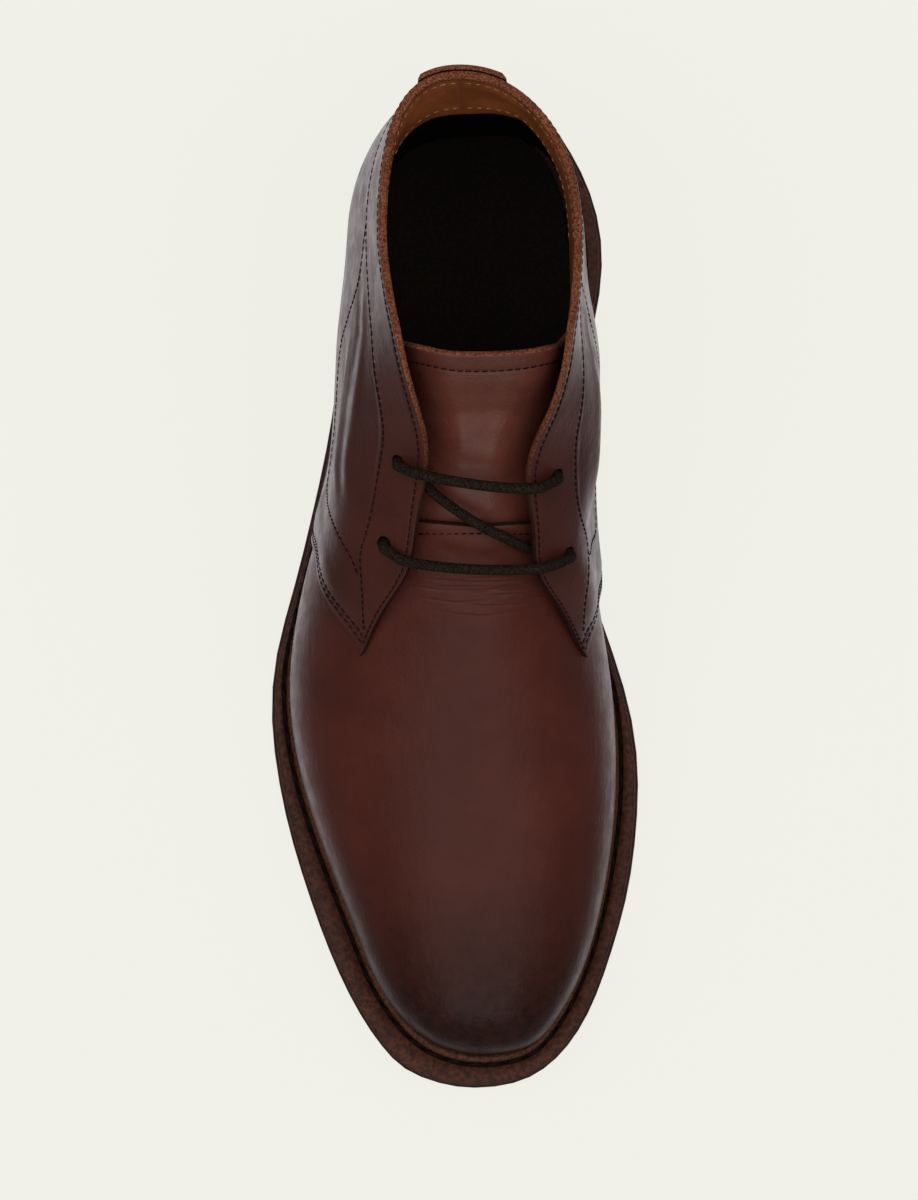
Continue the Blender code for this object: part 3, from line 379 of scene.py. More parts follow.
# %% The sole's outline in plan
def sole_point(side, turn, inset=0.0):
    """A point of the sole's outline in plan, moved inwards by inset."""

    def at(t):
        along = 0.5 * (1 + math.cos(math.pi * t))
        half = float(SOLE_CURVES[side](t)) * BALL_WIDTH
        return np.array([MIDLINE_X + SIGN[side] * half, float(y_at(along))])

    step = 1e-3
    tangent = at(min(1.0, turn + step)) - at(max(0.0, turn - step))
    if turn <= 0.0:
        tangent = np.array([SIGN[side], 0.0])
    if turn >= 1.0:
        tangent = np.array([-SIGN[side], 0.0])
    tangent /= np.linalg.norm(tangent)
    inward = np.array([-tangent[1], tangent[0]]) * SIGN[side]
    return at(turn) + inward * inset


print("toe of the sole in mm:", (sole_point("medial", 0.0) / MM).round(1).tolist())


# %% The vamp's surface
def form_row(y):
    """The form's sizes at a transverse section, in metres."""
    turn = form_turn(along_at(y))
    row = {n: curve(turn) * BALL_WIDTH for n, curve in FORM_CURVES.items()}
    row["rise"] = FORM_CURVES["rise"](turn) * COLLAR_HEIGHT
    row["ridge_height"] = FORM_CURVES["ridge_height"](turn) * INSTEP_HEIGHT
    return row


def arch_point(row, y, side, angle):
    """A point of a section's arch: angle 0 is the widest line and 90 degrees the ridge."""
    wide_z = foot_height(y) + row["rise"]
    half = row["wide_" + side] - SIGN[side] * row["ridge_across"]
    across = half * np.clip(np.cos(angle), 0.0, 1.0) ** (2 / VAMP_FULLNESS)
    x = MIDLINE_X + row["ridge_across"] + SIGN[side] * across
    ridge = np.maximum(row["ridge_height"], wide_z)
    z = wide_z + (ridge - wide_z) * np.sin(angle)
    return np.stack(np.broadcast_arrays(x, y, z), axis=-1)


def foot_point(row, y, side):
    """The lowest point of the sheet, standing on the welt."""
    x = MIDLINE_X + SIGN[side] * row["foot_" + side]
    return np.stack(np.broadcast_arrays(x, y, foot_height(y)), axis=-1)


def vamp_point(side, y, level):
    """The vamp's face: level 0 is the foot, LOWER_SHARE the widest line and 1 the ridge."""
    y, level = np.broadcast_arrays(np.asarray(y, float), np.asarray(level, float))
    row = form_row(y)
    angle = 0.5 * math.pi * np.clip((level - LOWER_SHARE) / (1 - LOWER_SHARE), 0, 1)
    wide = arch_point(row, y, side, np.zeros_like(y))
    low = np.clip(level / LOWER_SHARE, 0, 1)
    rise = np.sin(0.5 * math.pi * low)
    tuck = 1 - np.cos(0.5 * math.pi * (1 - low))
    band = foot_point(row, y, side) + up_by(np.minimum(FOOT_BAND, 0.5 * row["rise"]))
    move = np.stack([tuck, np.zeros_like(y), 1 - rise], axis=-1)
    lower = wide + (band - wide) * move
    return np.where(level[..., None] >= LOWER_SHARE, arch_point(row, y, side, angle), lower)


throat_height = float(form_row(y_at(THROAT_ALONG))["ridge_height"])
print("vamp above the floor at the throat in mm:", round(throat_height / MM, 1))

# %% Sections of the quarters up to the heel
QUARTER_LEVELS = (0.0, 0.16, 0.44, 0.72, 1.0)


def facing_station(along, lateral, medial):
    """Level points of a section where the quarter lies on the vamp, cut at the facing."""
    y = y_at(along)
    row = form_row(y)
    station = {}
    for side, half in (("lateral", lateral), ("medial", medial)):
        share = min(1.0, half * BALL_WIDTH / float(row["wide_" + side]))
        last = math.acos(share ** (VAMP_FULLNESS / 2))
        band = foot_point(row, y, side) + up_by(FOOT_BAND)
        arch = [arch_point(row, y, side, a) for a in (0.0, last / 3, 2 * last / 3, last)]
        station[side] = np.array([band] + arch)
    return station


def wall_station(cell):
    """Level points of a section through the quarter's walls behind the throat."""
    y = float(y_at(cell["along"]))
    row = form_row(y)
    wide_z = float(foot_height(y) + row["rise"])
    rise = cell["edge_height"] * COLLAR_HEIGHT - wide_z
    heights = [float(foot_height(y)) + FOOT_BAND, wide_z]
    heights += [wide_z + rise * share for share in (LOW_LEVEL, HIGH_LEVEL, 1.0)]
    station = {}
    for side in SIGN:
        halves = [float(row["foot_" + side]), float(row["wide_" + side])]
        halves += [cell[n + side] * BALL_WIDTH for n in ("low_", "high_", "edge_")]
        station[side] = np.array(
            [[MIDLINE_X + SIGN[side] * h, y, z] for h, z in zip(halves, heights)]
        )
    return station


FRONT_STATIONS = [facing_station(**row) for row in rows_of(FACING, FACING_COLUMNS)]
FRONT_STATIONS += [wall_station(row) for row in rows_of(QUARTER, QUARTER_COLUMNS)]
print("sections in front of the heel:", len(FRONT_STATIONS))

# %% Sections round the heel
HEEL_TURNS = [math.radians(a) for a in (18, 36, 54, 72, 90)]


def heel_station(last, turn):
    """A station round the heel, on superellipses from the last section to the back seam."""
    y_last = float(y_at(QUARTER[-1][0]))
    back_wide = float(foot_height(y_at(BACK[1][1]))) + BACK_RISE * COLLAR_HEIGHT
    rise = BACK_EDGE_HEIGHT * COLLAR_HEIGHT - back_wide
    back_z = [float(foot_height(y_at(BACK[0][1]))) + FOOT_BAND, back_wide]
    back_z += [back_wide + rise * share for share in (LOW_LEVEL, HIGH_LEVEL, 1.0)]
    station = {}
    for side, other_side in (("lateral", "medial"), ("medial", "lateral")):
        points = []
        for i, cell in enumerate(rows_of(BACK, BACK_COLUMNS)):
            start, other = last[side][i], last[other_side][i]
            middle = 0.5 * (start[0] + other[0])
            share = math.sin(turn) ** 2
            across = math.cos(turn) ** (2 / cell["fullness"])
            back = math.sin(turn) ** (2 / cell["fullness"])
            lean_x = MIDLINE_X + cell["lean"] * BALL_WIDTH - middle
            x = middle + lean_x * share + (start[0] - middle) * across
            y = y_last + (float(y_at(cell["along"])) - y_last) * back
            points.append([x, y, start[2] + (back_z[i] - start[2]) * share])
        station[side] = np.array(points)
    return station


STATIONS = FRONT_STATIONS + [heel_station(FRONT_STATIONS[-1], t) for t in HEEL_TURNS]
STATION_STEPS = [
    np.linalg.norm(b["lateral"][2] - a["lateral"][2])
    for a, b in zip(STATIONS[:-1], STATIONS[1:])
]
STATION_KNOTS = np.concatenate([[0.0], np.cumsum(STATION_STEPS)])
BACK_KNOT = STATION_KNOTS[-1]
LAST_SECTION_KNOT = STATION_KNOTS[len(FRONT_STATIONS) - 1]
print("sections from the facing's front to the back seam:", len(STATIONS))

# %% The sheet round the boot
LEVEL_SHARES = spline(QUARTER_LEVELS, np.eye(len(QUARTER_LEVELS)))
AROUND = [s["lateral"] for s in STATIONS] + [s["medial"] for s in STATIONS[:-1]][::-1]
WRAP = spline(
    np.concatenate([STATION_KNOTS, 2 * BACK_KNOT - STATION_KNOTS[:-1][::-1]]),
    np.array(AROUND).reshape(len(AROUND), -1),
)


def wrap_point(knot, level):
    """The quarter's sheet before its lift: level 0 is the foot and 1 the collar's edge."""
    knot, level = np.broadcast_arrays(np.asarray(knot, float), np.asarray(level, float))
    sections = WRAP(knot).reshape(*knot.shape, len(QUARTER_LEVELS), 3)
    return np.einsum("...l,...lk->...k", LEVEL_SHARES(level), sections)


KNOT_SAMPLES = np.linspace(0.0, LAST_SECTION_KNOT, 200)
Y_SAMPLES = WRAP(KNOT_SAMPLES).reshape(-1, len(QUARTER_LEVELS), 3)[:, 2, 1]


def knot_at(y, side):
    """The place along the wrap of a transverse section in front of the heel."""
    knot = np.interp(y, Y_SAMPLES, KNOT_SAMPLES)
    return knot if side == "lateral" else 2 * BACK_KNOT - knot


print("half way round the boot in mm:", round(BACK_KNOT / MM, 1))


# %% The quarters' surface, with the free flap
def wrap_normal(knot, level):
    """The direction out of the quarter."""
    step_k, step_l = 0.0008, 0.02
    low = np.maximum(0.0, np.asarray(level, float) - step_l)
    high = np.minimum(1.0, np.asarray(level, float) + step_l)
    along = wrap_point(knot + step_k, level) - wrap_point(knot - step_k, level)
    up = wrap_point(knot, high) - wrap_point(knot, low)
    normal = np.cross(up, along)
    return normal / np.linalg.norm(normal, axis=-1, keepdims=True)


def flap_lift(y, level):
    """How far the free flap stands off the vamp at its facing edge."""
    along = along_at(y)
    front = 1 - smooth(along, THROAT_ALONG + 0.035, THROAT_ALONG + 0.115)
    back = smooth(along, 0.26, 0.34)
    return FLAP_LIFT * smooth(level, 0.36, 0.76) * front * back


def quarter_point(knot, level, offset=0.0):
    """The quarter's sheet with its flap lifted, moved out by offset."""
    point = wrap_point(knot, level)
    out = np.asarray(offset + flap_lift(point[..., 1], level))
    return point + wrap_normal(knot, level) * out[..., None]


back_seam = quarter_point(BACK_KNOT, 1.0)
print("collar at the back seam in mm:", (back_seam / MM).round(1).tolist())

# %% [markdown]
# ## Tools for finishes
#
# A finish is a small graph of nodes. Colours are written as the sRGB hex values that a
# picture editor shows, and turned into the linear values that a shader adds up. Pattern
# sizes are written in millimetres: a texture's scale counts its cells in a metre, so a
# cell of 0.8 mm is a scale of 1250. The picture is shown with the Standard transform, so
# that a colour in a material is the colour in the picture under a light of one.

# %% Colours, scales and nodes
bpy.context.scene.view_settings.view_transform = "Standard"
USUAL = {"MapRange": {"interpolation_type": "SMOOTHSTEP"}, "Mix": {"data_type": "RGBA"}}
SHARE, FIRST, SECOND, MIXED = 0, 6, 7, 2
RUN = ("Value", "From Min", "From Max", "To Min", "To Max")


def linear(hex_colour):
    """An sRGB hex colour as the linear colour of a shader."""
    parts = [int(hex_colour[i : i + 2], 16) / 255 for i in (1, 3, 5)]
    return (*[p / 12.92 if p <= 0.04045 else ((p + 0.055) / 1.055) ** 2.4 for p in parts], 1.0)


def cells_of(size_mm):
    """A texture's scale for cells of this size."""
    return 1000.0 / size_mm


def add(tree, kind, inputs, **settings):
    """Adds a node with its settings and gives its outputs.

    An input is a number, a hex colour or the output of another node. SHARE, FIRST and
    SECOND are the inputs of a colour mix and MIXED its output. RUN names a map range's.
    """
    node = tree.nodes.new("ShaderNode" + kind)
    for name, value in {**USUAL.get(kind, {}), **settings}.items():
        setattr(node, name, value)
    for name, value in inputs.items():
        if isinstance(value, bpy.types.NodeSocket):
            tree.links.new(value, node.inputs[name])
        else:
            node.inputs[name].default_value = linear(value) if isinstance(value, str) else value
    return node.outputs


def new_material(name, **values):
    """A material with a Principled shader, and the shader's sockets set by name."""
    material = bpy.data.materials.new(name)
    material.use_nodes = True
    shader = material.node_tree.nodes["Principled BSDF"]
    for socket, value in values.items():
        shader.inputs[socket.replace("_", " ")].default_value = value
    return material, material.node_tree, shader


print("a middle grey of a picture as light:", round(linear("#808080")[0], 3))

# %% [markdown]
# ## The leathers of the upper
#
# The upper is full-grain leather: the hide's outer side, dyed brown through and waxed. Up
# close it is a net of pores and fine cells, and a step away a mottled red-brown that the
# maker has burnished nearly black at the toe. The pattern is noise of three sizes over
# one another, which no two places share, so it needs no image. The wax gives a soft
# sheen, so walls that turn away from the eye go pale and grey.

# %% Full-grain leather
# Sizes in mm: clouds of dye, flecks between them, and streaks drawn out along the foot.
LEATHER_MOTTLE_COLUMNS = ("name", "size_mm", "detail", "rough", "low", "high")
LEATHER_MOTTLE = (
    ("clouds", 26.0, 4.0, 0.55, 0.36, 0.64),
    ("flecks", 3.2, 5.0, 0.65, 0.35, 0.70),
    ("streaks", 4.5, 4.0, 0.55, 0.38, 0.66),
)
DRAWN_OUT = (1.0, 0.28, 0.8)
BURNISH_START = -0.070
BURNISH_FULL = -0.138
# Real pores are 0.1 to 0.2 mm apart: cells of 0.8 mm are as fine as the picture shows.
PORES_MM = 0.8


def full_grain_leather(name, body, deep, toe, gloss):
    """Waxed full-grain leather: mottled, burnished towards the toe, with pores."""
    material, tree, shader = new_material(name, Metallic=0.0, IOR=1.5, Specular_IOR_Level=gloss)
    place = add(tree, "TexCoord", {})["Object"]
    to_heel = add(tree, "SeparateXYZ", {"Vector": place})["Y"]
    drawn = add(tree, "Mapping", {"Vector": place, "Scale": DRAWN_OUT})["Vector"]
    mottle = {}
    for row in rows_of(LEATHER_MOTTLE, LEATHER_MOTTLE_COLUMNS):
        sockets = {"Vector": drawn if row["name"] == "streaks" else place}
        sockets.update({"Scale": cells_of(row["size_mm"]), "Detail": row["detail"]})
        cloud = add(tree, "TexNoise", {**sockets, "Roughness": row["rough"]})["Fac"]
        run = dict(zip(RUN, (cloud, row["low"], row["high"])))
        mottle[row["name"]] = add(tree, "MapRange", run)["Result"]
    base = add(tree, "Mix", {SHARE: mottle["clouds"], FIRST: deep, SECOND: body})[MIXED]
    for pattern, share in (("flecks", 0.30), ("streaks", 0.22)):
        part = add(tree, "Math", {0: mottle[pattern], 1: share}, operation="MULTIPLY")["Value"]
        base = add(tree, "Mix", {SHARE: part, FIRST: base, SECOND: deep})[MIXED]
    burnt = add(tree, "Mix", {SHARE: mottle["flecks"], FIRST: toe, SECOND: "#3a201a"})[MIXED]
    burnish = add(tree, "MapRange", dict(zip(RUN, (to_heel, BURNISH_START, BURNISH_FULL))))
    base = add(tree, "Mix", {SHARE: burnish["Result"], FIRST: base, SECOND: burnt})[MIXED]
    tree.links.new(base, shader.inputs["Base Color"])
    sockets = {"Vector": place, "Scale": cells_of(6.0), "Detail": 5.0, "Roughness": 0.6}
    wax = add(tree, "TexNoise", sockets)["Fac"]
    rough = add(tree, "MapRange", dict(zip(RUN, (wax, 0.3, 0.7, 0.33, 0.45))))["Result"]
    tree.links.new(rough, shader.inputs["Roughness"])
    sockets = {"Vector": place, "Scale": cells_of(PORES_MM), "Randomness": 0.9}
    pores = add(tree, "TexVoronoi", sockets, feature="SMOOTH_F1")["Distance"]
    sockets = {"Vector": place, "Scale": cells_of(1.8), "Detail": 6.0, "Roughness": 0.6}
    grain = add(tree, "TexNoise", sockets)["Fac"]
    normal = add(tree, "Bump", {"Height": pores, "Distance": 0.06 * MM})["Normal"]
    for height in (grain, mottle["streaks"]):
        sockets = {"Height": height, "Distance": 0.05 * MM, "Normal": normal}
        normal = add(tree, "Bump", sockets)["Normal"]
    tree.links.new(normal, shader.inputs["Normal"])
    return material


# Lasted tight and brushed: the eye gets an even red-brown with little shine.
VAMP_LEATHER = full_grain_leather("full_grain_leather_vamp", "#65322a", "#582b24", "#251410", 0.21)
# Waxed by hand on upright walls: darker, and pale where the light grazes it.
QUARTER_LEATHER = full_grain_leather(
    "full_grain_leather_quarter", "#5c2c24", "#4c251d", "#34201b", 0.45
)
# Rubbed smooth by the lace and the hand: the reddest and glossiest of the three.
TONGUE_LEATHER = full_grain_leather(
    "full_grain_leather_tongue", "#7a4236", "#68362c", "#2a1815", 0.50
)
print("leathers:", VAMP_LEATHER.name, QUARTER_LEATHER.name, TONGUE_LEATHER.name)

# %% [markdown]
# ## Cut edges, lining and thread
#
# Where a knife goes through a hide its fibres show, matt and lighter than the face, as on
# suede. The lining is a thin smooth calf leather, tan near the collar and darkened by painted
# shade down in the shoe. Thread is twisted and waxed. Each is a mix of two colours by a fine
# noise, with the same noise as its relief, so that light and dark follow the bumps: partly their
# own colour, and partly a painted highlight on the tops and painted shade between them.

# %% Flesh side and cut edges of the hide
# The cut edges go dark towards the toe, partly their own colour and partly painted shade for
# the shadow under the flaps, and they go nearly black towards the bottom, near the welt.
EDGE_SHADE_START = 0.062
EDGE_SHADE_FULL = 0.008
LOW_EDGE_DARK_START = 0.045
LOW_EDGE_DARK_FULL = 0.030


def hide_fibre(name, light, dark, grain_mm, depth_mm, rough, front=None):
    """The matt, fibrous side of leather; front is a dark colour towards the toe, partly its own and
    partly painted shade.
    """
    material, tree, shader = new_material(
        name, Metallic=0.0, IOR=1.45, Roughness=rough, Specular_IOR_Level=0.25
    )
    place = add(tree, "TexCoord", {})["Object"]
    sockets = {"Vector": place, "Scale": cells_of(grain_mm), "Detail": 4.0, "Roughness": 0.7}
    grit = add(tree, "TexNoise", sockets)["Fac"]
    fibres = add(tree, "MapRange", dict(zip(RUN, (grit, 0.35, 0.66))))["Result"]
    sockets = {"Vector": place, "Scale": cells_of(9.0), "Detail": 3.0, "Roughness": 0.55}
    cloud = add(tree, "TexNoise", sockets)["Fac"]
    patches = add(tree, "MapRange", dict(zip(RUN, (cloud, 0.35, 0.65))))["Result"]
    patches = add(tree, "Math", {0: patches, 1: 0.35}, operation="MULTIPLY")["Value"]
    # Lighter on the tops of the same noise that makes the bumps: partly the fibres' own colour, partly a
    # painted highlight, with painted shade between.
    base = add(tree, "Mix", {SHARE: fibres, FIRST: dark, SECOND: light})[MIXED]
    base = add(tree, "Mix", {SHARE: patches, FIRST: base, SECOND: dark})[MIXED]
    if front:
        parts = add(tree, "SeparateXYZ", {"Vector": place})
        # Partly painted shade: the cut edges darken towards the toe, for the shadow under the flaps.
        edge_shade = add(tree, "MapRange", dict(zip(RUN, (parts["Y"], EDGE_SHADE_START, EDGE_SHADE_FULL))))["Result"]
        base = add(tree, "Mix", {SHARE: edge_shade, FIRST: base, SECOND: front})[MIXED]
        # The cut edges go nearly black towards the bottom, near the welt.
        wax = add(tree, "MapRange", dict(zip(RUN, (parts["Z"], LOW_EDGE_DARK_START, LOW_EDGE_DARK_FULL))))["Result"]
        base = add(tree, "Mix", {SHARE: wax, FIRST: base, SECOND: "#140b08"})[MIXED]
    tree.links.new(base, shader.inputs["Base Color"])
    normal = add(tree, "Bump", {"Height": grit, "Distance": depth_mm * MM})["Normal"]
    tree.links.new(normal, shader.inputs["Normal"])
    return material


# Cut dry and left raw: fibres stand up, so the collar's rim is matt, rough and light.
# Its dark colour towards the toe is partly painted shade for the shadow under the flaps.
CUT_EDGE = hide_fibre("cut_edge_of_hide", "#b8704f", "#55291b", 0.60, 0.30, 0.85, "#29150f")
# Punched: the wall of a lace hole is a dark ring, painted shade inside the hole.
HOLE_WALL_SHADE = hide_fibre("hole_wall_painted_shade", "#4a261d", "#26130f", 0.5, 0.25, 0.75)
print("cut edges:", CUT_EDGE.name, HOLE_WALL_SHADE.name)

# %% Lining of the shaft
# Painted shade: the lining goes nearly black below these heights and in front of these places, down in
# the shoe.
LINING_SHADE_BELOW = (0.102, 0.090)
LINING_SHADE_IN_FRONT = (0.100, 0.060)


def calf_lining(name, bright, worn, deep):
    """Smooth lining leather, tan at the collar, with painted shade that darkens it down in the shoe and
    towards the toe.
    """
    material, tree, shader = new_material(name, Metallic=0.0, IOR=1.48, Roughness=0.55)
    place = add(tree, "TexCoord", {})["Object"]
    parts = add(tree, "SeparateXYZ", {"Vector": place})
    sockets = {"Vector": place, "Scale": cells_of(12.0), "Detail": 5.0, "Roughness": 0.6}
    cloud = add(tree, "TexNoise", sockets)["Fac"]
    clouds = add(tree, "MapRange", dict(zip(RUN, (cloud, 0.35, 0.68))))["Result"]
    base = add(tree, "Mix", {SHARE: clouds, FIRST: worn, SECOND: bright})[MIXED]
    # Painted shade: the lining darkens low down and towards the toe, where little light reaches inside
    # the shoe.
    depth = add(tree, "MapRange", dict(zip(RUN, (parts["Z"], *LINING_SHADE_BELOW))))["Result"]
    front = add(tree, "MapRange", dict(zip(RUN, (parts["Y"], *LINING_SHADE_IN_FRONT))))["Result"]
    lining_shade = add(tree, "Math", {0: depth, 1: front}, operation="MAXIMUM")["Value"]
    base = add(tree, "Mix", {SHARE: lining_shade, FIRST: base, SECOND: deep})[MIXED]
    tree.links.new(base, shader.inputs["Base Color"])
    sockets = {"Vector": place, "Scale": cells_of(1.1), "Detail": 5.0, "Roughness": 0.55}
    grain = add(tree, "TexNoise", sockets)["Fac"]
    normal = add(tree, "Bump", {"Height": grain, "Distance": 0.05 * MM})["Normal"]
    tree.links.new(normal, shader.inputs["Normal"])
    return material


# Vegetable tanned and undyed: a warm tan, with painted shade that takes it nearly black down in the
# shoe.
LINING = calf_lining("calf_lining", "#a85d2d", "#824721", "#120a07")
print("lining:", LINING.name)

# %% Threads and the lace's cord
# Plies are about 0.2 mm across: 0.45 mm is as fine as the picture shows.
PLY_MM = 0.45


def thread(name, light, dark):
    """Waxed thread: twisted plies, with a painted highlight on their tops and painted shade between
    them.
    """
    material, tree, shader = new_material(
        name, Metallic=0.0, IOR=1.5, Roughness=0.85, Specular_IOR_Level=0.15
    )
    place = add(tree, "TexCoord", {})["Object"]
    sockets = {"Vector": place, "Scale": cells_of(PLY_MM), "Detail": 2.0, "Roughness": 0.55}
    cloud = add(tree, "TexNoise", sockets)["Fac"]
    plies = add(tree, "MapRange", dict(zip(RUN, (cloud, 0.35, 0.65))))["Result"]
    # Lighter on the plies' tops and darker between them: a painted highlight and painted shade.
    base = add(tree, "Mix", {SHARE: plies, FIRST: dark, SECOND: light})[MIXED]
    tree.links.new(base, shader.inputs["Base Color"])
    normal = add(tree, "Bump", {"Height": plies, "Distance": 0.08 * MM})["Normal"]
    tree.links.new(normal, shader.inputs["Normal"])
    return material


# Dyed and drawn through wax: nearly black dashes on the leather.
DARK_THREAD = thread("waxed_polyester_thread", "#271814", "#110a08")
# Left in its own colour: pale dashes on the tan lining.
PALE_THREAD = thread("undyed_linen_thread", "#c9a377", "#8a6540")
# Braided and waxed: a painted highlight on the plies and black painted shade between them.
WAXED_LACE = thread("waxed_cotton_lace", "#382c24", "#0f0b09")
print("threads:", DARK_THREAD.name, PALE_THREAD.name, WAXED_LACE.name)

# %% [markdown]
# ## Tools for leathers
#
# A leather is a sheet with a face, a back and a cut edge all round. Each is built from
# two grids of points, one on the face and one on the back, closed by a narrow strip that
# bulges a little, because a knife leaves the middle of the edge proud. A modifier could
# give one thickness everywhere, but here the back is padded and skived in its own way.
# Three materials follow that order. Folds and the troughs under stitches are moves of the face along its
# normal, by the distance from a line that is drawn on the leather.


# %% Grids and meshes
def grid_border(columns, rows):
    """Places of a grid's outer points, in order round it."""
    near = [(i, 0) for i in range(columns)]
    right = [(columns - 1, j) for j in range(1, rows)]
    far = [(i, rows - 1) for i in range(columns - 2, -1, -1)]
    left = [(0, j) for j in range(rows - 2, 0, -1)]
    return np.array(near + right + far + left)


def grid_normals(grid):
    """Directions square to a grid of points."""
    normal = np.cross(np.gradient(grid, axis=1), np.gradient(grid, axis=0))
    return normal / np.maximum(np.linalg.norm(normal, axis=-1, keepdims=True), 1e-12)


def mesh_piece(name, points, faces, indices, materials):
    """A mesh object with smooth faces and a material for each."""
    mesh = bpy.data.meshes.new(name)
    mesh.from_pydata(points.tolist(), [], faces.tolist())
    for material in materials:
        mesh.materials.append(material)
    mesh.polygons.foreach_set("material_index", indices)
    mesh.shade_smooth()
    piece = bpy.data.objects.new(name, mesh)
    bpy.context.scene.collection.objects.link(piece)
    return piece


def turn_outwards(piece, ring_sides=0):
    """Turns a piece's faces outwards, after closing its open rings of that many sides."""
    form = bmesh.new()
    form.from_mesh(piece.data)
    if ring_sides:
        bmesh.ops.holes_fill(form, edges=form.edges, sides=ring_sides)
    bmesh.ops.recalc_face_normals(form, faces=form.faces)
    form.to_mesh(piece.data)
    form.free()


print("border of a grid of 4 by 3:", len(grid_border(4, 3)))

# %% A thick leather
# Steps across a cut edge: shares of the thickness, and shares of the bulge.
EDGE_ROUND = ((0.10, 0.55), (0.32, 0.95), (0.68, 0.95), (0.90, 0.55))


def thick_sheet(name, face, back, materials, bulge=0.0002):
    """A closed leather from the grids of its face and back."""
    columns, rows = face.shape[:2]
    size = columns * rows
    index = np.arange(size).reshape(columns, rows)
    corners = [index[:-1, :-1], index[1:, :-1], index[1:, 1:], index[:-1, 1:]]
    quads = np.stack(corners, axis=-1).reshape(-1, 4)
    place = grid_border(columns, rows)
    ring = index[place[:, 0], place[:, 1]]
    inside = np.clip(place, 1, [columns - 2, rows - 2])
    front, rear = face.reshape(-1, 3)[ring], back.reshape(-1, 3)[ring]
    out = front - face[inside[:, 0], inside[:, 1]]
    out /= np.maximum(np.linalg.norm(out, axis=1, keepdims=True), 1e-12)
    strips = [front + (rear - front) * s + out * bulge * w for s, w in EDGE_ROUND]
    points = np.concatenate([face.reshape(-1, 3), back.reshape(-1, 3), *strips])
    rings = [ring]
    rings += [2 * size + k * len(ring) + np.arange(len(ring)) for k in range(len(strips))]
    rings += [ring + size]
    edges = [
        np.stack([np.roll(a, -1), a, b, np.roll(b, -1)], axis=1)
        for a, b in zip(rings[:-1], rings[1:])
    ]
    faces = np.concatenate([quads, quads[:, ::-1] + size, *edges])
    counts = (len(quads), len(quads), len(faces) - 2 * len(quads))
    indices = np.repeat([0, 1, 2], counts)
    a, b, c = (points[faces[:, k]] for k in (0, 1, 2))
    d = points[faces[:, 3]]
    volume = (np.cross(b, c) * a).sum() + (np.cross(c, d) * a).sum()
    if volume < 0:
        faces = faces[:, ::-1]
    return mesh_piece(name, points, faces, indices, materials)


def settle(piece, slot, *nodes):
    """The piece rides on the boot and stands for CAD nodes, which are hidden; slot is not used."""
    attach(piece, "root")
    if nodes:
        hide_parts(*nodes)
    mesh = piece.data
    mesh.calc_loop_triangles()
    print(piece.name, "triangles:", len(mesh.loop_triangles))
    return piece


print("rings of points across a cut edge:", len(EDGE_ROUND))


# %% Lines drawn on a leather
def from_line(points, line):
    """How far each point is from a line, and where along it, 0 to 1, it is nearest."""
    flat = points.reshape(-1, 3)
    best, place = np.full(len(flat), np.inf), np.zeros(len(flat))
    runs = np.diff(line, axis=0)
    for i, (start, run) in enumerate(zip(line[:-1], runs)):
        t = np.clip((flat - start) @ run / max(run @ run, 1e-18), 0, 1)
        gap = np.linalg.norm(flat - start - t[:, None] * run, axis=1)
        nearer = gap < best
        best[nearer] = gap[nearer]
        place[nearer] = (i + t[nearer]) / len(runs)
    return best.reshape(points.shape[:-1]), place.reshape(points.shape[:-1])


def fold(points, line, height_mm, width_mm, ends=0.3):
    """A soft ridge, or a trough for a height below 0, that fades at the line's ends."""
    gap, place = from_line(points, line)
    fade = smooth(place, 0.0, ends) * smooth(1 - place, 0.0, ends) if ends else 1.0
    return height_mm * MM * fade * np.exp(-((gap / (width_mm * MM)) ** 2))


ridge = fold(np.array([[MM, 0.0, 0.0]]), np.array([[0.0, -MM, 0.0], [0.0, MM, 0.0]]), 1.0, 1.0, 0.0)
print("a ridge 1 mm high and wide, 1 mm off its line, in mm:", round(ridge[0] / MM, 2))

# %% Places of stitches
STITCH_LOOK_MM = 0.3


def stitch_places(line, normals, pitch_mm):
    """Centres, directions and normals of stitches evenly spaced along a line."""
    reach = np.concatenate([[0.0], np.cumsum(np.linalg.norm(np.diff(line, axis=0), axis=1))])
    count = max(1, int(reach[-1] / (pitch_mm * MM)))
    middles = (np.arange(count) + 0.5) * reach[-1] / count
    spot = np.stack([np.interp(middles, reach, line[:, k]) for k in range(3)], axis=1)
    look = STITCH_LOOK_MM * MM
    ahead = [np.interp(middles + look, reach, line[:, k]) for k in range(3)]
    behind = [np.interp(middles - look, reach, line[:, k]) for k in range(3)]
    run = np.stack(ahead, axis=1) - np.stack(behind, axis=1)
    run /= np.linalg.norm(run, axis=1, keepdims=True)
    out = np.stack([np.interp(middles, reach, normals[:, k]) for k in range(3)], axis=1)
    out -= run * (out * run).sum(axis=1, keepdims=True)
    out /= np.linalg.norm(out, axis=1, keepdims=True)
    return spot, run, out


straight = np.array([[0.0, 0.0, 0.0], [23 * MM, 0.0, 0.0]])
upright = np.array([[0.0, 0.0, 1.0], [0.0, 0.0, 1.0]])
print("stitches in 23 mm at 2.2 mm:", len(stitch_places(straight, upright, 2.2)[0]))

# %% Stitches
# A stitch is a short tube: places along its half length, and shares of its radius.
STITCH_RINGS = (
    (-1.0, 0.35), (-0.86, 0.80), (-0.45, 1.0), (0.45, 1.0), (0.86, 0.80), (1.0, 0.35),
)
STITCH_SIDES = 6


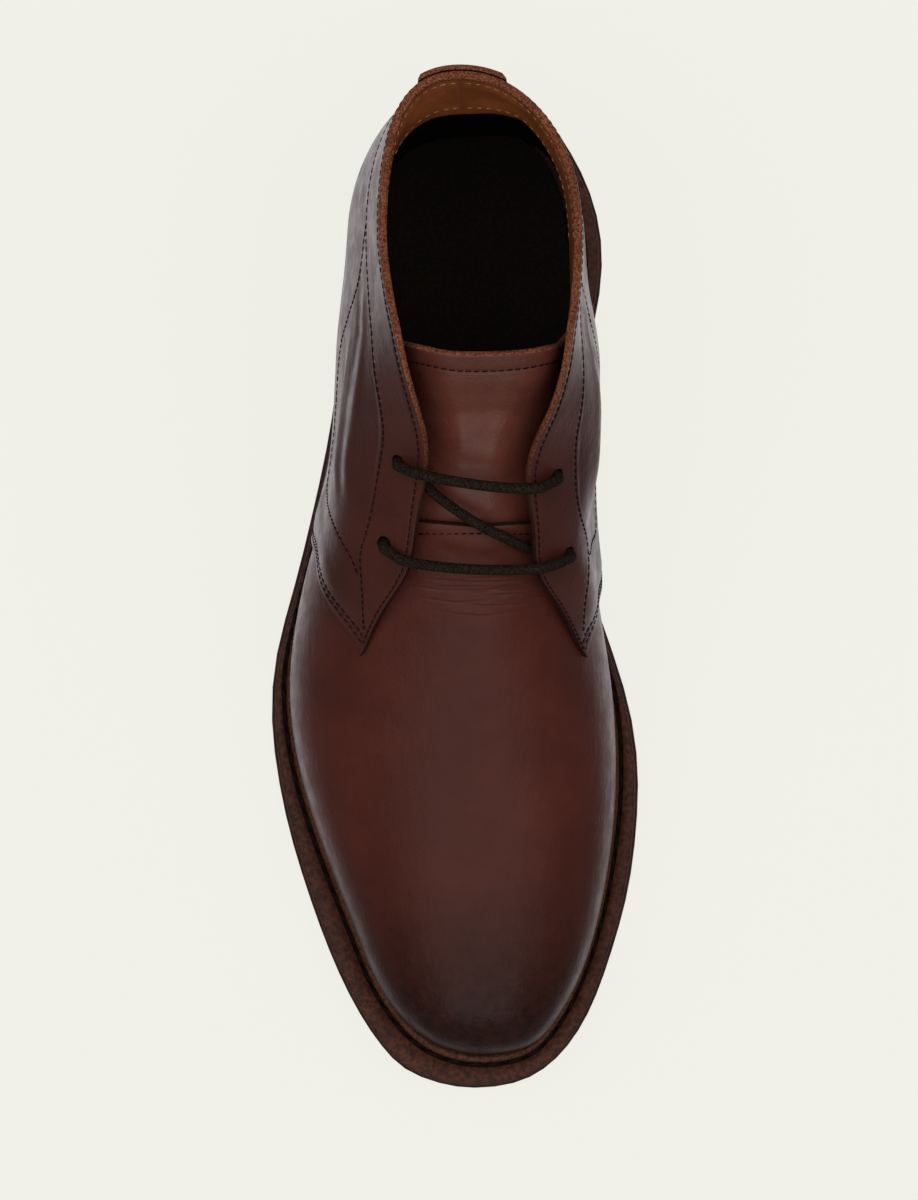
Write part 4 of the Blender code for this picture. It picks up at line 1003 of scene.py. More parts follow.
def stitched(
    name, rows, material, slot,
    pitch_mm=2.2, length_mm=1.75, thread_mm=0.42, rise=0.15, slant=0.06,
):
    """Rows of stitches as one piece: each is a short thread, thin where it dives in."""
    placed = [stitch_places(*row, pitch_mm) for row in rows]
    spots, runs, outs = (np.concatenate(parts) for parts in zip(*placed))
    sides = np.cross(outs, runs)
    runs = runs + slant * sides
    half, radius = 0.5 * length_mm * MM, 0.5 * thread_mm * MM
    angles = np.arange(STITCH_SIDES) * 2 * math.pi / STITCH_SIDES
    rings = []
    for along, width in STITCH_RINGS:
        drop = radius * (rise - 0.9 * abs(along) ** 3)
        for angle in angles:
            across, up = math.cos(angle) * radius * width, math.sin(angle) * radius * width
            rings.append(spots + runs * half * along + sides * across + outs * (up + drop))
    points = np.stack(rings, axis=1).reshape(-1, 3)
    each = len(STITCH_RINGS) * STITCH_SIDES
    faces = []
    for r in range(len(STITCH_RINGS) - 1):
        for s in range(STITCH_SIDES):
            n = (s + 1) % STITCH_SIDES
            a, b = r * STITCH_SIDES, (r + 1) * STITCH_SIDES
            faces.append((a + s, a + n, b + n, b + s))
    last = each - STITCH_SIDES
    faces += [(3, 2, 1, 0), (5, 4, 3, 0), (last, last + 1, last + 2, last + 3)]
    faces += [(last, last + 3, last + 4, last + 5)]
    starts = np.arange(len(spots)) * each
    faces = (np.array(faces)[None] + starts[:, None, None]).reshape(-1, 4)
    piece = mesh_piece(name, points, faces, np.zeros(len(faces), int), [material])
    print(name, "stitches:", len(spots))
    return settle(piece, slot)


print("points of a stitch:", len(STITCH_RINGS) * STITCH_SIDES)


# %% [markdown]
# ## Vamp
#
# The vamp is one leather from the toe to the throat, lasted wet so that it keeps the
# form. It is drawn from the foot line on the lateral side over the ridge and down the
# medial side, with its lines closer together at the round toe. Where the foot bends,
# below the lowest bar of the lace, a fan of fine wrinkles crosses it, and a soft hollow
# runs out to each side. A cloth simulation could wrinkle it, but thick leather on a last
# keeps its shape, and drawn lines put each wrinkle where this boot has it.

# %% Vamp grid
VAMP_REAR_LEVELS = (0.0, 0.3, 0.55, 0.75, 1.0)
VAMP_REAR = {
    "lateral": (0.3800, 0.4000, 0.4250, 0.4400, 0.4467),
    "medial": (0.4150, 0.4250, 0.4350, 0.4430, 0.4467),
}
VAMP_LINES = 150
WRINKLE_LINES = 110
WRINKLE_SHARES = (0.880, 0.972)
FULL_SIDES = 0.45
FULL_ALONG = (0.52, 0.68)
VAMP_ROWS_LOW = 16
VAMP_ROWS_HIGH = 60


def vamp_levels():
    """Levels of the grid's rows, closer together round the foot's edge."""
    low = np.linspace(0.0, LOWER_SHARE, VAMP_ROWS_LOW)
    return np.concatenate([low, np.linspace(LOWER_SHARE, 1.0, VAMP_ROWS_HIGH)[1:]])


def fuller(side, y, levels):
    """The vamp's face with its shoulders filled out towards the toe, as on the last."""
    grid = vamp_point(side, y, levels)
    angle = 0.5 * math.pi * np.clip((levels - LOWER_SHARE) / (1 - LOWER_SHARE), 0, 1)
    row = form_row(y)
    power = VAMP_FULLNESS + FULL_SIDES * smooth(along_at(y), *FULL_ALONG)
    half = row["wide_" + side] - SIGN[side] * row["ridge_across"]
    now = np.clip(np.cos(angle), 0, 1) ** (2 / VAMP_FULLNESS)
    then = np.clip(np.cos(angle), 0, 1) ** (2 / power)
    grid[..., 0] += SIGN[side] * half * (then - now) * (levels > LOWER_SHARE)
    return grid


def vamp_shares():
    """Lines of the vamp from the toe back, closer together where the wrinkles are."""
    dense = np.linspace(*WRINKLE_SHARES, WRINKLE_LINES)
    rest = np.linspace(0.0, 1.0, VAMP_LINES)
    rest = rest[(rest < WRINKLE_SHARES[0]) | (rest > WRINKLE_SHARES[1])]
    return np.sort(np.concatenate([rest, dense]))


def vamp_side(side, shares, levels):
    """A side's grid from its foot line to the ridge."""
    toe = float(y_at(FORM_TOE))
    reach = y_at(np.interp(levels, VAMP_REAR_LEVELS, VAMP_REAR[side])) - toe
    y = toe + reach[None, :] * (1 - np.cos(0.5 * math.pi * shares[:, None]))
    grid = fuller(side, y, np.broadcast_to(levels, y.shape))
    foot = grid[:, :1].copy()
    foot[..., 2] = foot_height(foot[..., 1])
    return np.concatenate([foot, grid], axis=1)


shares = vamp_shares()
levels = vamp_levels()
lateral_half = vamp_side("lateral", shares, levels)
medial_half = vamp_side("medial", shares, levels)
vamp_grid = np.concatenate([lateral_half, medial_half[:, ::-1][:, 1:]], axis=1)
vamp_out = grid_normals(vamp_grid)
vamp_out[0] = vamp_out[1] + vamp_out[1][::-1]
vamp_out[0] /= np.linalg.norm(vamp_out[0], axis=1, keepdims=True)
print("vamp grid:", vamp_grid.shape[:2])

# %% Folds of the vamp
VAMP_FOLD_COLUMNS = ("along", "from_half", "to_half", "bow_mm", "height_mm", "width_mm")
VAMP_FOLDS = (
    (0.4870, -0.150, 0.155, 0.6, -0.16, 0.34),
    (0.4900, -0.020, 0.230, -1.6, -0.20, 0.36),
    (0.4925, -0.165, 0.210, 1.6, -0.24, 0.36),
    (0.4960, -0.060, 0.250, -0.8, -0.25, 0.36),
    (0.4990, -0.185, 0.120, 2.2, -0.28, 0.38),
    (0.5020, -0.130, 0.060, 0.2, -0.22, 0.34),
    (0.5045, -0.110, 0.240, 0.4, -0.26, 0.36),
    (0.5085, -0.170, 0.090, 2.4, -0.22, 0.36),
    (0.5120, 0.020, 0.235, -1.0, -0.24, 0.36),
    (0.5150, -0.090, 0.180, 1.4, -0.18, 0.34),
    (0.5200, -0.130, 0.150, 2.8, -0.16, 0.36),
    (0.5005, -0.160, 0.200, 1.0, -0.22, 2.5),
    (0.5120, -0.140, 0.170, 1.5, 0.15, 2.5),
    (0.5400, -0.300, 0.250, 5.0, -0.30, 7.0),
    (0.5950, -0.330, 0.270, 8.0, 0.20, 8.0),
)


def vamp_line(along, from_half, to_half, bow_mm, count=24):
    """A line over the vamp at one place along, bowed towards the toe in its middle."""
    shares = np.linspace(0.0, 1.0, count)
    half = from_half + (to_half - from_half) * shares
    y = y_at(along) - bow_mm * MM * (1 - (2 * shares - 1) ** 2)
    points = []
    for h, place in zip(half, y):
        row = form_row(place)
        side = "lateral" if h * BALL_WIDTH < row["ridge_across"] else "medial"
        across = abs(h * BALL_WIDTH - row["ridge_across"])
        wide = row["wide_" + side] - SIGN[side] * row["ridge_across"]
        share = min(1.0, across / float(wide))
        points.append(arch_point(row, place, side, math.acos(share ** (VAMP_FULLNESS / 2))))
    return np.array(points)


vamp_move = np.zeros(vamp_grid.shape[:2])
for row in rows_of(VAMP_FOLDS, VAMP_FOLD_COLUMNS):
    line = vamp_line(row["along"], row["from_half"], row["to_half"], row["bow_mm"])
    vamp_move += fold(vamp_grid, line, row["height_mm"], row["width_mm"])
THROAT_STITCH_ALONG = 0.4525
throat_stitch = vamp_line(THROAT_STITCH_ALONG, from_half=-0.20, to_half=0.20, bow_mm=0.0)
vamp_move += fold(vamp_grid, throat_stitch, height_mm=-0.22, width_mm=0.55, ends=0.0)
print("deepest fold in mm:", round(1000 * vamp_move.min(), 2))

# %% Vamp piece
vamp_face = vamp_grid + vamp_out * vamp_move[..., None]
vamp_back = vamp_grid - vamp_out * VAMP_WALL
vamp = thick_sheet("vamp_leather", vamp_face, vamp_back, [VAMP_LEATHER, LINING, CUT_EDGE])
settle(vamp, "upper_leather", "upper")

# %% [markdown]
# ## Quarters
#
# Each quarter runs from the back seam to a pointed corner on the vamp, and its facing
# stands free beside the tongue. The facing and the collar are a second leather laid over
# the first, so a low step runs all along it. Grid rows follow that step, which keeps it
# crisp, where a relief over an even grid would be ragged: the rows below it share one
# span, and the rows above it another. A place on a quarter is 0 at the front seam and 1
# at the back seam.

# %% Seams of the quarters
SEAM_LEVELS = (0.0, 0.16, 0.44, 0.72, 1.0)
SEAM = {
    "lateral": spline(SEAM_LEVELS, (0.425, 0.445, 0.474, 0.519, 0.566)),
    "medial": spline(SEAM_LEVELS, (0.455, 0.485, 0.517, 0.546, 0.571)),
}
FACING_SEAM_COLUMNS = ("place", "lateral", "medial")
FACING_SEAM = (
    (0.00, 0.990, 0.965),
    (0.02, 0.960, 0.900),
    (0.05, 0.900, 0.815),
    (0.10, 0.811, 0.688),
    (0.13, 0.779, 0.625),
    (0.16, 0.786, 0.618),
    (0.20, 0.806, 0.680),
    (0.25, 0.825, 0.758),
    (0.32, 0.838, 0.808),
    (0.40, 0.840, 0.832),
    (0.47, 0.812, 0.835),
    (0.54, 0.773, 0.822),
    (0.62, 0.728, 0.812),
    (0.70, 0.715, 0.800),
    (0.80, 0.725, 0.785),
    (0.90, 0.745, 0.775),
    (1.00, 0.770, 0.770),
)
SADDLE_SEAM = {
    "lateral": (
        (0.690, 0.712), (0.613, 0.640), (0.560, 0.598), (0.510, 0.535), (0.450, 0.440),
        (0.398, 0.375), (0.330, 0.345), (0.250, 0.330), (0.180, 0.330), (0.136, 0.355),
        (0.120, 0.420), (0.121, 0.600), (0.118, 0.700), (0.108, 0.770), (0.098, 0.800),
    ),
    "medial": (
        (0.690, 0.795), (0.613, 0.690), (0.560, 0.612), (0.510, 0.535), (0.450, 0.440),
        (0.398, 0.375), (0.330, 0.345), (0.250, 0.325), (0.180, 0.315), (0.136, 0.325),
        (0.120, 0.400), (0.118, 0.500), (0.122, 0.575), (0.134, 0.612),
    ),
}
print("points of a saddle seam:", {side: len(path) for side, path in SADDLE_SEAM.items()})

# %% Places on a quarter
FRONT_SKIVE_MM = 0.7
ANKLE_HOLLOW = 3.6 * MM
HOLLOW_DEEPENS = (0.42, 0.62)
HOLLOW_FADES = (0.93, 1.0)
HOLLOW_FOOT = (0.0, 0.24)
HOLLOW_HEAD = (0.78, 1.0)
FLAP_FACE = QUARTER_WALL - QUARTER_SINK + COLLAR_BAND_STEP
FLAP_BACK = -QUARTER_SINK


def quarter_knot(side, place, level):
    """A place along the wrap from the front seam, 0, to the back seam, 1."""
    front = knot_at(y_at(SEAM[side](level)), "lateral")
    knot = BACK_KNOT + (front - BACK_KNOT) * (1 - np.asarray(place, float))
    return knot if side == "lateral" else 2 * BACK_KNOT - knot


def facing_level(side, place):
    """The level of the step between a quarter's two leathers."""
    places = column(FACING_SEAM, FACING_SEAM_COLUMNS, "place")
    return spline(places, column(FACING_SEAM, FACING_SEAM_COLUMNS, side))(place)


def ankle_hollow(side, place, level):
    """How far the medial wall is drawn in behind the ankle bone."""
    place, level = np.asarray(place, float), np.asarray(level, float)
    if side == "lateral":
        return 0.0 * place * level
    there = smooth(place, *HOLLOW_DEEPENS) * (1 - smooth(place, *HOLLOW_FADES))
    return ANKLE_HOLLOW * there * smooth(level, *HOLLOW_FOOT) * (1 - smooth(level, *HOLLOW_HEAD))


def face_offset(side, place, level):
    """How far the quarter's face is from its sheet, over and under the step."""
    over = level > facing_level(side, place)
    skived = FRONT_SKIVE_MM * MM * (1 - smooth(place, 0.0, 0.05))
    return FLAP_FACE - COLLAR_BAND_STEP * ~over - skived - ankle_hollow(side, place, level)


def on_quarter(side, place, level, above=0.0):
    """Points on a quarter's face and the directions out of it."""
    place, level = np.broadcast_arrays(np.asarray(place, float), np.asarray(level, float))
    knot = quarter_knot(side, place, level)
    return (
        quarter_point(knot, level, face_offset(side, place, level) + above),
        wrap_normal(knot, level),
    )


def quarter_line(side, path, count=160):
    """A smooth line on a quarter through places and levels, with its normals."""
    path = np.array(path, float)
    reach = np.concatenate([[0.0], np.cumsum(np.hypot(*np.diff(path, axis=0).T))])
    there = spline(reach, path)(np.linspace(0.0, reach[-1], count))
    return on_quarter(side, there[:, 0], np.minimum(there[:, 1], 0.999))


print("flap's face above its sheet in mm:", round(1000 * FLAP_FACE, 2))

# %% Stitch lines of the quarters
COLLAR_STITCH_LEVEL = 0.979
FRONT_STITCH_PLACES = (0.0095, 0.0200)


def facing_path(side, above):
    """The facing seam's path, moved up the quarter by a share of a level."""
    places = np.linspace(0.03, 0.93, 120)
    return np.stack([places, facing_level(side, places) + above], axis=1)


def collar_path():
    """The row of stitches under the collar's edge."""
    places = np.linspace(0.012, 0.93, 120)
    return np.stack([places, np.full_like(places, COLLAR_STITCH_LEVEL)], axis=1)


def front_path(place):
    """A row of stitches up the front seam."""
    heights = np.linspace(0.10, 0.965, 60)
    return np.stack([np.full_like(heights, place), heights], axis=1)


quarter_rows = {}
for side in SIGN:
    paths = [facing_path(side, 0.013), SADDLE_SEAM[side], collar_path()]
    paths += [front_path(place) for place in FRONT_STITCH_PLACES]
    quarter_rows[side] = [quarter_line(side, path, 200) for path in paths]
print("rows of stitches on a side:", len(quarter_rows["lateral"]))

# %% Folds of the quarters
QUARTER_FOLD_COLUMNS = ("path", "height_mm", "width_mm")
QUARTER_FOLDS = {
    "lateral": (
        (((0.62, 0.66), (0.45, 0.72), (0.28, 0.70), (0.15, 0.72)), 0.55, 2.6),
        (((0.60, 0.60), (0.45, 0.64), (0.28, 0.63), (0.15, 0.70)), -0.55, 2.4),
        (((0.52, 0.52), (0.40, 0.56), (0.26, 0.56), (0.15, 0.66)), 0.50, 2.4),
        (((0.46, 0.47), (0.36, 0.49), (0.25, 0.50), (0.16, 0.60)), -0.40, 2.2),
        (((0.10, 0.20), (0.06, 0.50), (0.05, 0.75)), 0.20, 3.0),
        (((0.75, 0.30), (0.60, 0.26), (0.40, 0.24)), -0.50, 5.0),
    ),
    "medial": (
        (((0.60, 0.62), (0.42, 0.70), (0.28, 0.66), (0.18, 0.58)), 0.45, 2.8),
        (((0.56, 0.55), (0.42, 0.62), (0.28, 0.58), (0.17, 0.52)), -0.45, 2.4),
        (((0.50, 0.46), (0.38, 0.52), (0.26, 0.50), (0.17, 0.46)), 0.35, 2.4),
        (((0.75, 0.30), (0.60, 0.26), (0.40, 0.24)), -0.50, 5.0),
    ),
}


def quarter_move(side, grid):
    """All folds and stitch troughs of a side, as moves along the normal."""
    move = np.zeros(grid.shape[:-1])
    for row in rows_of(QUARTER_FOLDS[side], QUARTER_FOLD_COLUMNS):
        line = quarter_line(side, row["path"], 40)[0]
        move += fold(grid, line, row["height_mm"], row["width_mm"])
    for line, _ in quarter_rows[side]:
        move += fold(grid, line[::2], height_mm=-0.16, width_mm=0.42, ends=0.0)
    return move


print("folds of a side:", {side: len(rows) for side, rows in QUARTER_FOLDS.items()})

# %% Rows and lining of the quarters
QUARTER_LINES = 250
ROWS_UNDER_SEAM = 96
ROWS_OVER_SEAM = 46
SEAM_HALF_MM = 0.35
QUARTER_RISE = 0.110
HEEL_PAD = 7.0 * MM
HEEL_GRIP_DEPTH = 0.23
HEEL_GRIP_STEP = 0.8 * MM
HEEL_GRIP_ENDS = {"lateral": (0.72, 0.98), "medial": (0.80, 1.00)}
FLAP_SKIVE = 1.3 * MM
COLLAR_SKIVE = 0.9 * MM
HOLLOW_INSIDE = 0.75


def quarter_levels(side, places):
    """Level of each row at each place: they close up on both sides of the seam."""
    seam = facing_level(side, places)[:, None]
    half = SEAM_HALF_MM * MM / QUARTER_RISE
    under = np.linspace(0.0, 1.0, ROWS_UNDER_SEAM)[None, :] * (seam - half)
    shares = np.linspace(0.0, 1.0, ROWS_OVER_SEAM)[None, :]
    over = seam + half + (1 - seam - half) * shares
    return np.concatenate([under, np.minimum(over, 1.0)], axis=1)


def heel_grip(side, place, level):
    """How far the padded lining at the heel stands in from the wall."""
    deep = 1 - np.asarray(level, float)
    swell = HEEL_PAD * smooth(deep, 0.0, HEEL_GRIP_DEPTH)
    swell = swell - HEEL_GRIP_STEP * (deep > HEEL_GRIP_DEPTH)
    return swell * smooth(place, *HEEL_GRIP_ENDS[side])


def flap_thinning(place, level):
    """How much the facings are skived on the back towards their edge."""
    behind = smooth(place, 0.40, 0.62)
    skive = FLAP_SKIVE + (COLLAR_SKIVE - FLAP_SKIVE) * behind
    return skive * smooth(level, 0.90 + 0.04 * behind, 0.985)


def lining_offset(side, place, level):
    """How far the lining is from the sheet: padded, hollowed and skived."""
    hollow = HOLLOW_INSIDE * ankle_hollow(side, place, level)
    inward = np.maximum(heel_grip(side, place, level), hollow)
    return FLAP_BACK - inward + flap_thinning(place, level)


print("pad of the lining at the heel in mm:", round(float(heel_grip("lateral", 1.0, 0.8)) / MM, 1))


# %% Quarter pieces
def quarter_piece(side):
    """A quarter with its lining, as one thick leather."""
    places = np.linspace(0.0, 1.0, QUARTER_LINES)[:, None]
    levels = quarter_levels(side, places[:, 0])
    knot = quarter_knot(side, places, levels)
    out = wrap_normal(knot, levels)
    face = quarter_point(knot, levels, face_offset(side, places, levels))
    face += out * quarter_move(side, face)[..., None]
    back = quarter_point(knot, levels, lining_offset(side, places, levels))
    for grid in (face, back):
        grid[:, 0, 2] = foot_height(grid[:, 0, 1])
    if side == "medial":
        face, back = face[::-1], back[::-1]
    materials = [QUARTER_LEATHER, LINING, CUT_EDGE]
    return thick_sheet("quarter_" + side, face, back, materials, bulge=0.0003)


quarters = {side: quarter_piece(side) for side in SIGN}
print("grid of a quarter:", QUARTER_LINES, "by", ROWS_UNDER_SEAM + ROWS_OVER_SEAM)

# %% [markdown]
# ## Lace holes
#
# The facings have two plain punched holes a side. Each is cut through the flap with a
# round punch, so the lace goes into a real hole whose wall is dark with painted shade. A dark
# disc would do from afar, but here the cord passes through it.


# %% Tools for the lace holes
CUTTER_SIDES = 40
CUTTER_SPARE = 0.003


def eyelet_frame(side, along, half):
    """Centre of a hole on the flap's face, and the direction out of it."""
    target = float(y_at(along))
    y = target
    levels = np.linspace(0.3, 1.0, 40)
    for _ in range(4):
        knot = float(knot_at(y, side))
        line = quarter_point(knot, levels, FLAP_FACE)
        halves = SIGN[side] * (line[:, 0] - MIDLINE_X)
        level = float(np.interp(-half * BALL_WIDTH, -halves, levels))
        y += target - float(np.interp(level, levels, line[:, 1]))
    return quarter_point(knot, level, FLAP_FACE), wrap_normal(knot, level)


def punch(centre, normal):
    """A round cutter through the flap alone."""
    bpy.ops.mesh.primitive_cylinder_add(
        vertices=CUTTER_SIDES, radius=LACE_HOLE / 2, depth=QUARTER_WALL + CUTTER_SPARE
    )
    cutter = bpy.context.object
    cutter.matrix_world = (
        Matrix.Translation(Vector(centre) - Vector(normal) * QUARTER_WALL / 2)
        @ Vector(normal).to_track_quat("Z", "Y").to_matrix().to_4x4()
    )
    # The hole's wall takes the dark finish: painted shade inside the hole.
    cutter.data.materials.append(HOLE_WALL_SHADE)
    return cutter


def cut(piece, cutter):
    """Takes the cutter's form out of the piece and removes the cutter."""
    step = piece.modifiers.new("cut", "BOOLEAN")
    step.operation, step.object, step.solver = "DIFFERENCE", cutter, "EXACT"
    step.material_mode = "TRANSFER"
    graph = bpy.context.evaluated_depsgraph_get()
    mesh = bpy.data.meshes.new_from_object(piece.evaluated_get(graph))
    piece.modifiers.clear()
    piece.data = mesh
    bpy.data.objects.remove(cutter)


print("hole across in mm:", round(LACE_HOLE / MM, 1))

# %% Punch the lace holes
HOLES = {}
for row in rows_of(EYELETS, EYELET_COLUMNS):
    for side in SIGN:
        HOLES[row["name"], side] = (row[side + "_along"], row[side])
for (name, side), (along, half) in HOLES.items():
    cut(quarters[side], punch(*eyelet_frame(side, along, half)))
for side in SIGN:
    settle(quarters[side], "upper_leather", "upper")
print("lace holes:", len(HOLES))

# %% [markdown]
# ## Stitches of the upper
#
# A row of stitches is a line on the leather, cut into short threads. A second row inside
# the collar holds the heel's padded lining, and one row finishes the vamp's throat. They
# could be a pattern in the leather's finish, but threads that stand up catch the light.

# %% Stitches of the quarters and the throat
LINING_ROW_DEPTHS = (0.035, 0.165)
LINING_ROW_ENDS = (0.66, 0.995)
THROAT_STITCH_SINK = 0.0001
for side in SIGN:
    stitched(
        "stitches_quarter_" + side, quarter_rows[side], DARK_THREAD, "upper_leather",
        thread_mm=0.36,
    )
for side in SIGN:
    places = np.linspace(*LINING_ROW_ENDS, 130)
    rows = []
    for deep in LINING_ROW_DEPTHS:
        heights = np.full_like(places, 1 - deep)
        knots = quarter_knot(side, places, heights)
        line = quarter_point(knots, heights, lining_offset(side, places, heights))
        rows.append((line, -wrap_normal(knots, heights)))
    stitched(
        "stitches_lining_" + side, rows, PALE_THREAD, "upper_leather",
        pitch_mm=2.6, length_mm=1.6, thread_mm=0.38,
    )
throat_line = throat_stitch - up_by(np.full(len(throat_stitch), THROAT_STITCH_SINK))
throat_up = np.tile([0.0, 0.0, 1.0], (len(throat_line), 1))
stitched(
    "stitches_throat", [(throat_line, throat_up)], DARK_THREAD, "upper_leather",
    pitch_mm=2.1, length_mm=1.7,
)

# %% [markdown]
# ## Backstay
#
# The strip over the back seam is a leather of its own, thinned at its long edges so that
# it lies flat, with a row of stitches down each side. It could be a raised band of the
# quarters' own grid, but a piece of its own keeps two crisp edges.

# %% Backstay
BACKSTAY_COLUMNS = 41
BACKSTAY_ROWS = 150
BACKSTAY_LOW = 0.06
BACKSTAY_MARGIN_MM = 1.9
BACKSTAY_SKIVE = 0.55
BACKSTAY_ROW_TOP = 0.985
BACKSTAY_FOOT = QUARTER_WALL - QUARTER_SINK + COLLAR_BAND_STEP + GAP


def backstay_knot(share, level):
    """The place along the wrap of a point of the strip: -1 and 1 are its long edges."""
    width = BACKSTAY_FOOT_WIDTH + (BACKSTAY_TOP_WIDTH - BACKSTAY_FOOT_WIDTH) * level
    return BACK_KNOT + 0.5 * share * width


def backstay_lift(knot, level):
    """How far the strip's back is from the sheet: it follows the hollow at the ankle."""
    front = knot_at(y_at(SEAM["medial"](level)), "lateral")
    place = 1 - np.abs((knot - BACK_KNOT) / (front - BACK_KNOT))
    on_medial = np.sign(knot - BACK_KNOT) != np.sign(front - BACK_KNOT)
    return BACKSTAY_FOOT - on_medial * ankle_hollow("medial", place, level)


share = np.linspace(-1.0, 1.0, BACKSTAY_COLUMNS)[:, None]
level = np.linspace(BACKSTAY_LOW, 1.0, BACKSTAY_ROWS)[None, :]
knot = backstay_knot(share, level)
thick = BACKSTAY_WALL * (1 - BACKSTAY_SKIVE * smooth(np.abs(share), 0.90, 1.0))
lift = backstay_lift(knot, level)
face = quarter_point(knot, level, lift + thick)
back = quarter_point(knot, level, lift)
backstay_rows = []
for edge in (-1.0, 1.0):
    heights = np.linspace(BACKSTAY_LOW + 0.01, BACKSTAY_ROW_TOP, 120)
    inset = edge * (1 - BACKSTAY_MARGIN_MM * MM / (0.5 * BACKSTAY_TOP_WIDTH))
    knots = backstay_knot(inset, heights)
    line = quarter_point(knots, heights, backstay_lift(knots, heights) + BACKSTAY_WALL)
    backstay_rows.append((line, wrap_normal(knots, heights)))
move = sum(
    fold(face, line[::2], height_mm=-0.20, width_mm=0.5, ends=0.0) for line, _ in backstay_rows
)
face = face + wrap_normal(knot, level) * move[..., None]
backstay = thick_sheet("backstay_strip", face, back, [QUARTER_LEATHER, CUT_EDGE, CUT_EDGE])
settle(backstay, "backstay_leather", "backstay")
stitched("stitches_backstay", backstay_rows, DARK_THREAD, "backstay_leather")

# %% [markdown]
# ## Tongue
#
# The tongue is a single leather that lies in the gap between the facings and curls under
# both of them. It bends where the wearer's ankle does, just above the upper bar of the
# lace, and its raw top edge has one row of stitches below it. A flat sheet could be bent
# to it, but sections through seven points follow the facings exactly.

# %% Sections of the tongue
TONGUE_MIDDLE = spline(
    column(TONGUE, TONGUE_COLUMNS, "along"), column(TONGUE, TONGUE_COLUMNS, "height")
)
TONGUE_PLACE_COLUMNS = ("side", "across", "share")
TONGUE_PLACES = (
    ("lateral", -1.0, 0.0), ("lateral", -0.72, 0.5), ("lateral", -0.42, 1.0),
    ("medial", 0.42, 1.0), ("medial", 0.72, 0.5), ("medial", 1.0, 0.0),
)
TONGUE_CUT_MIDDLE = TONGUE_TOP_MIDDLE + 0.009
TONGUE_CUT_SIDE = TONGUE_TOP_SIDE - 0.016


def tongue_section(along):
    """The tongue's curve across at one place along, through its seven points."""
    y = float(y_at(along))
    middle = float(TONGUE_MIDDLE(along)) * COLLAR_HEIGHT
    if along > THROAT_ALONG:
        middle = float(form_row(y)["ridge_height"])
    rows = rows_of(TONGUE_PLACES, TONGUE_PLACE_COLUMNS)
    points = [
        wrap_point(knot_at(y, row["side"]), TONGUE_REACH + (1 - TONGUE_REACH) * row["share"])
        for row in rows
    ]
    places = [row["across"] for row in rows]
    points.insert(3, np.array([MIDLINE_X, y, middle]))
    places.insert(3, 0.0)
    return spline(places, points)


def tongue_top(across):
    """The cut of the top edge: a shallow curve that is lowest in its middle."""
    return TONGUE_CUT_MIDDLE + (TONGUE_CUT_SIDE - TONGUE_CUT_MIDDLE) * across**2


print("tongue's cut edge as shares of the sole:", TONGUE_CUT_MIDDLE, TONGUE_CUT_SIDE)

# %% Grid of the tongue
TONGUE_LINES = 110
TONGUE_ROWS = 91
tongue_start = THROAT_ALONG + TONGUE_UNDERLAP / SOLE_LENGTH
section_alongs = np.linspace(tongue_start, TONGUE_CUT_SIDE, 60)
across = np.linspace(-1.0, 1.0, TONGUE_ROWS)
sections = np.array([tongue_section(a)(across) for a in section_alongs])
tongue_curves = [spline(section_alongs, sections[:, j]) for j in range(TONGUE_ROWS)]
shares = np.linspace(0.0, 1.0, TONGUE_LINES)
tongue_grid = np.stack(
    [curve(tongue_start + (tongue_top(a) - tongue_start) * shares)
     for curve, a in zip(tongue_curves, across)],
    axis=1,
)
tongue_out = grid_normals(tongue_grid)
tongue_out *= np.sign(tongue_out[TONGUE_LINES // 2, TONGUE_ROWS // 2, 2])
tongue_face = tongue_grid - tongue_out * TONGUE_DROP
print("tongue grid:", tongue_grid.shape[:2])

# %% Folds of the tongue and its piece
TONGUE_FOLD_COLUMNS = ("along", "from_across", "to_across", "height_mm", "width_mm")
TONGUE_FOLDS = (
    (0.345, -0.9, 0.9, -0.50, 3.5),
    (0.388, -0.8, 0.8, 0.45, 4.0),
    (0.408, -0.9, 0.7, -0.35, 2.5),
    (0.318, -0.6, 0.8, 0.25, 3.0),
)
TONGUE_STITCH_MM = 4.4
TONGUE_FACE_MM = 57.0


def tongue_line(along, from_across, to_across, count=24):
    """A line across the tongue at one place along."""
    picks = np.linspace(from_across, to_across, count)
    line = np.array([tongue_section(along)(a) for a in picks])
    return line - up_by(np.full(count, TONGUE_DROP))


move = np.zeros(tongue_face.shape[:2])
for row in rows_of(TONGUE_FOLDS, TONGUE_FOLD_COLUMNS):
    line = tongue_line(row["along"], row["from_across"], row["to_across"])
    move += fold(tongue_face, line, row["height_mm"], row["width_mm"])
stitch_row = np.argmin(np.abs(shares - (1 - TONGUE_STITCH_MM / TONGUE_FACE_MM)))
tongue_row = (tongue_face[stitch_row, 6:-6], tongue_out[stitch_row, 6:-6])
move += fold(tongue_face, tongue_row[0][::2], height_mm=-0.20, width_mm=0.5, ends=0.0)
tongue_face = tongue_face + tongue_out * move[..., None]
tongue_back = tongue_grid - tongue_out * (TONGUE_DROP + TONGUE_WALL)
tongue_materials = [TONGUE_LEATHER, LINING, CUT_EDGE]
tongue = thick_sheet("tongue_sheet", tongue_face, tongue_back, tongue_materials, bulge=0.0005)
settle(tongue, "tongue_leather", "tongue")
stitched("stitches_tongue", [tongue_row], DARK_THREAD, "tongue_leather", length_mm=1.8)

# %% [markdown]
# ## Lace
#
# The lace is a round cord of braided waxed cotton. It crosses as two bars with a diagonal
# below them, and both ends are under the flaps. Its line is the CAD's own, through the
# holes. A bevelled curve would be a smooth rod, so the cord is swept ring by ring with
# real relief: six plies each way that cross like a maypole's ribbons.

# %% Places of the lace
LACE_OFFSET = 0.5 * LACE_DIAMETER + LACE_CLEARANCE


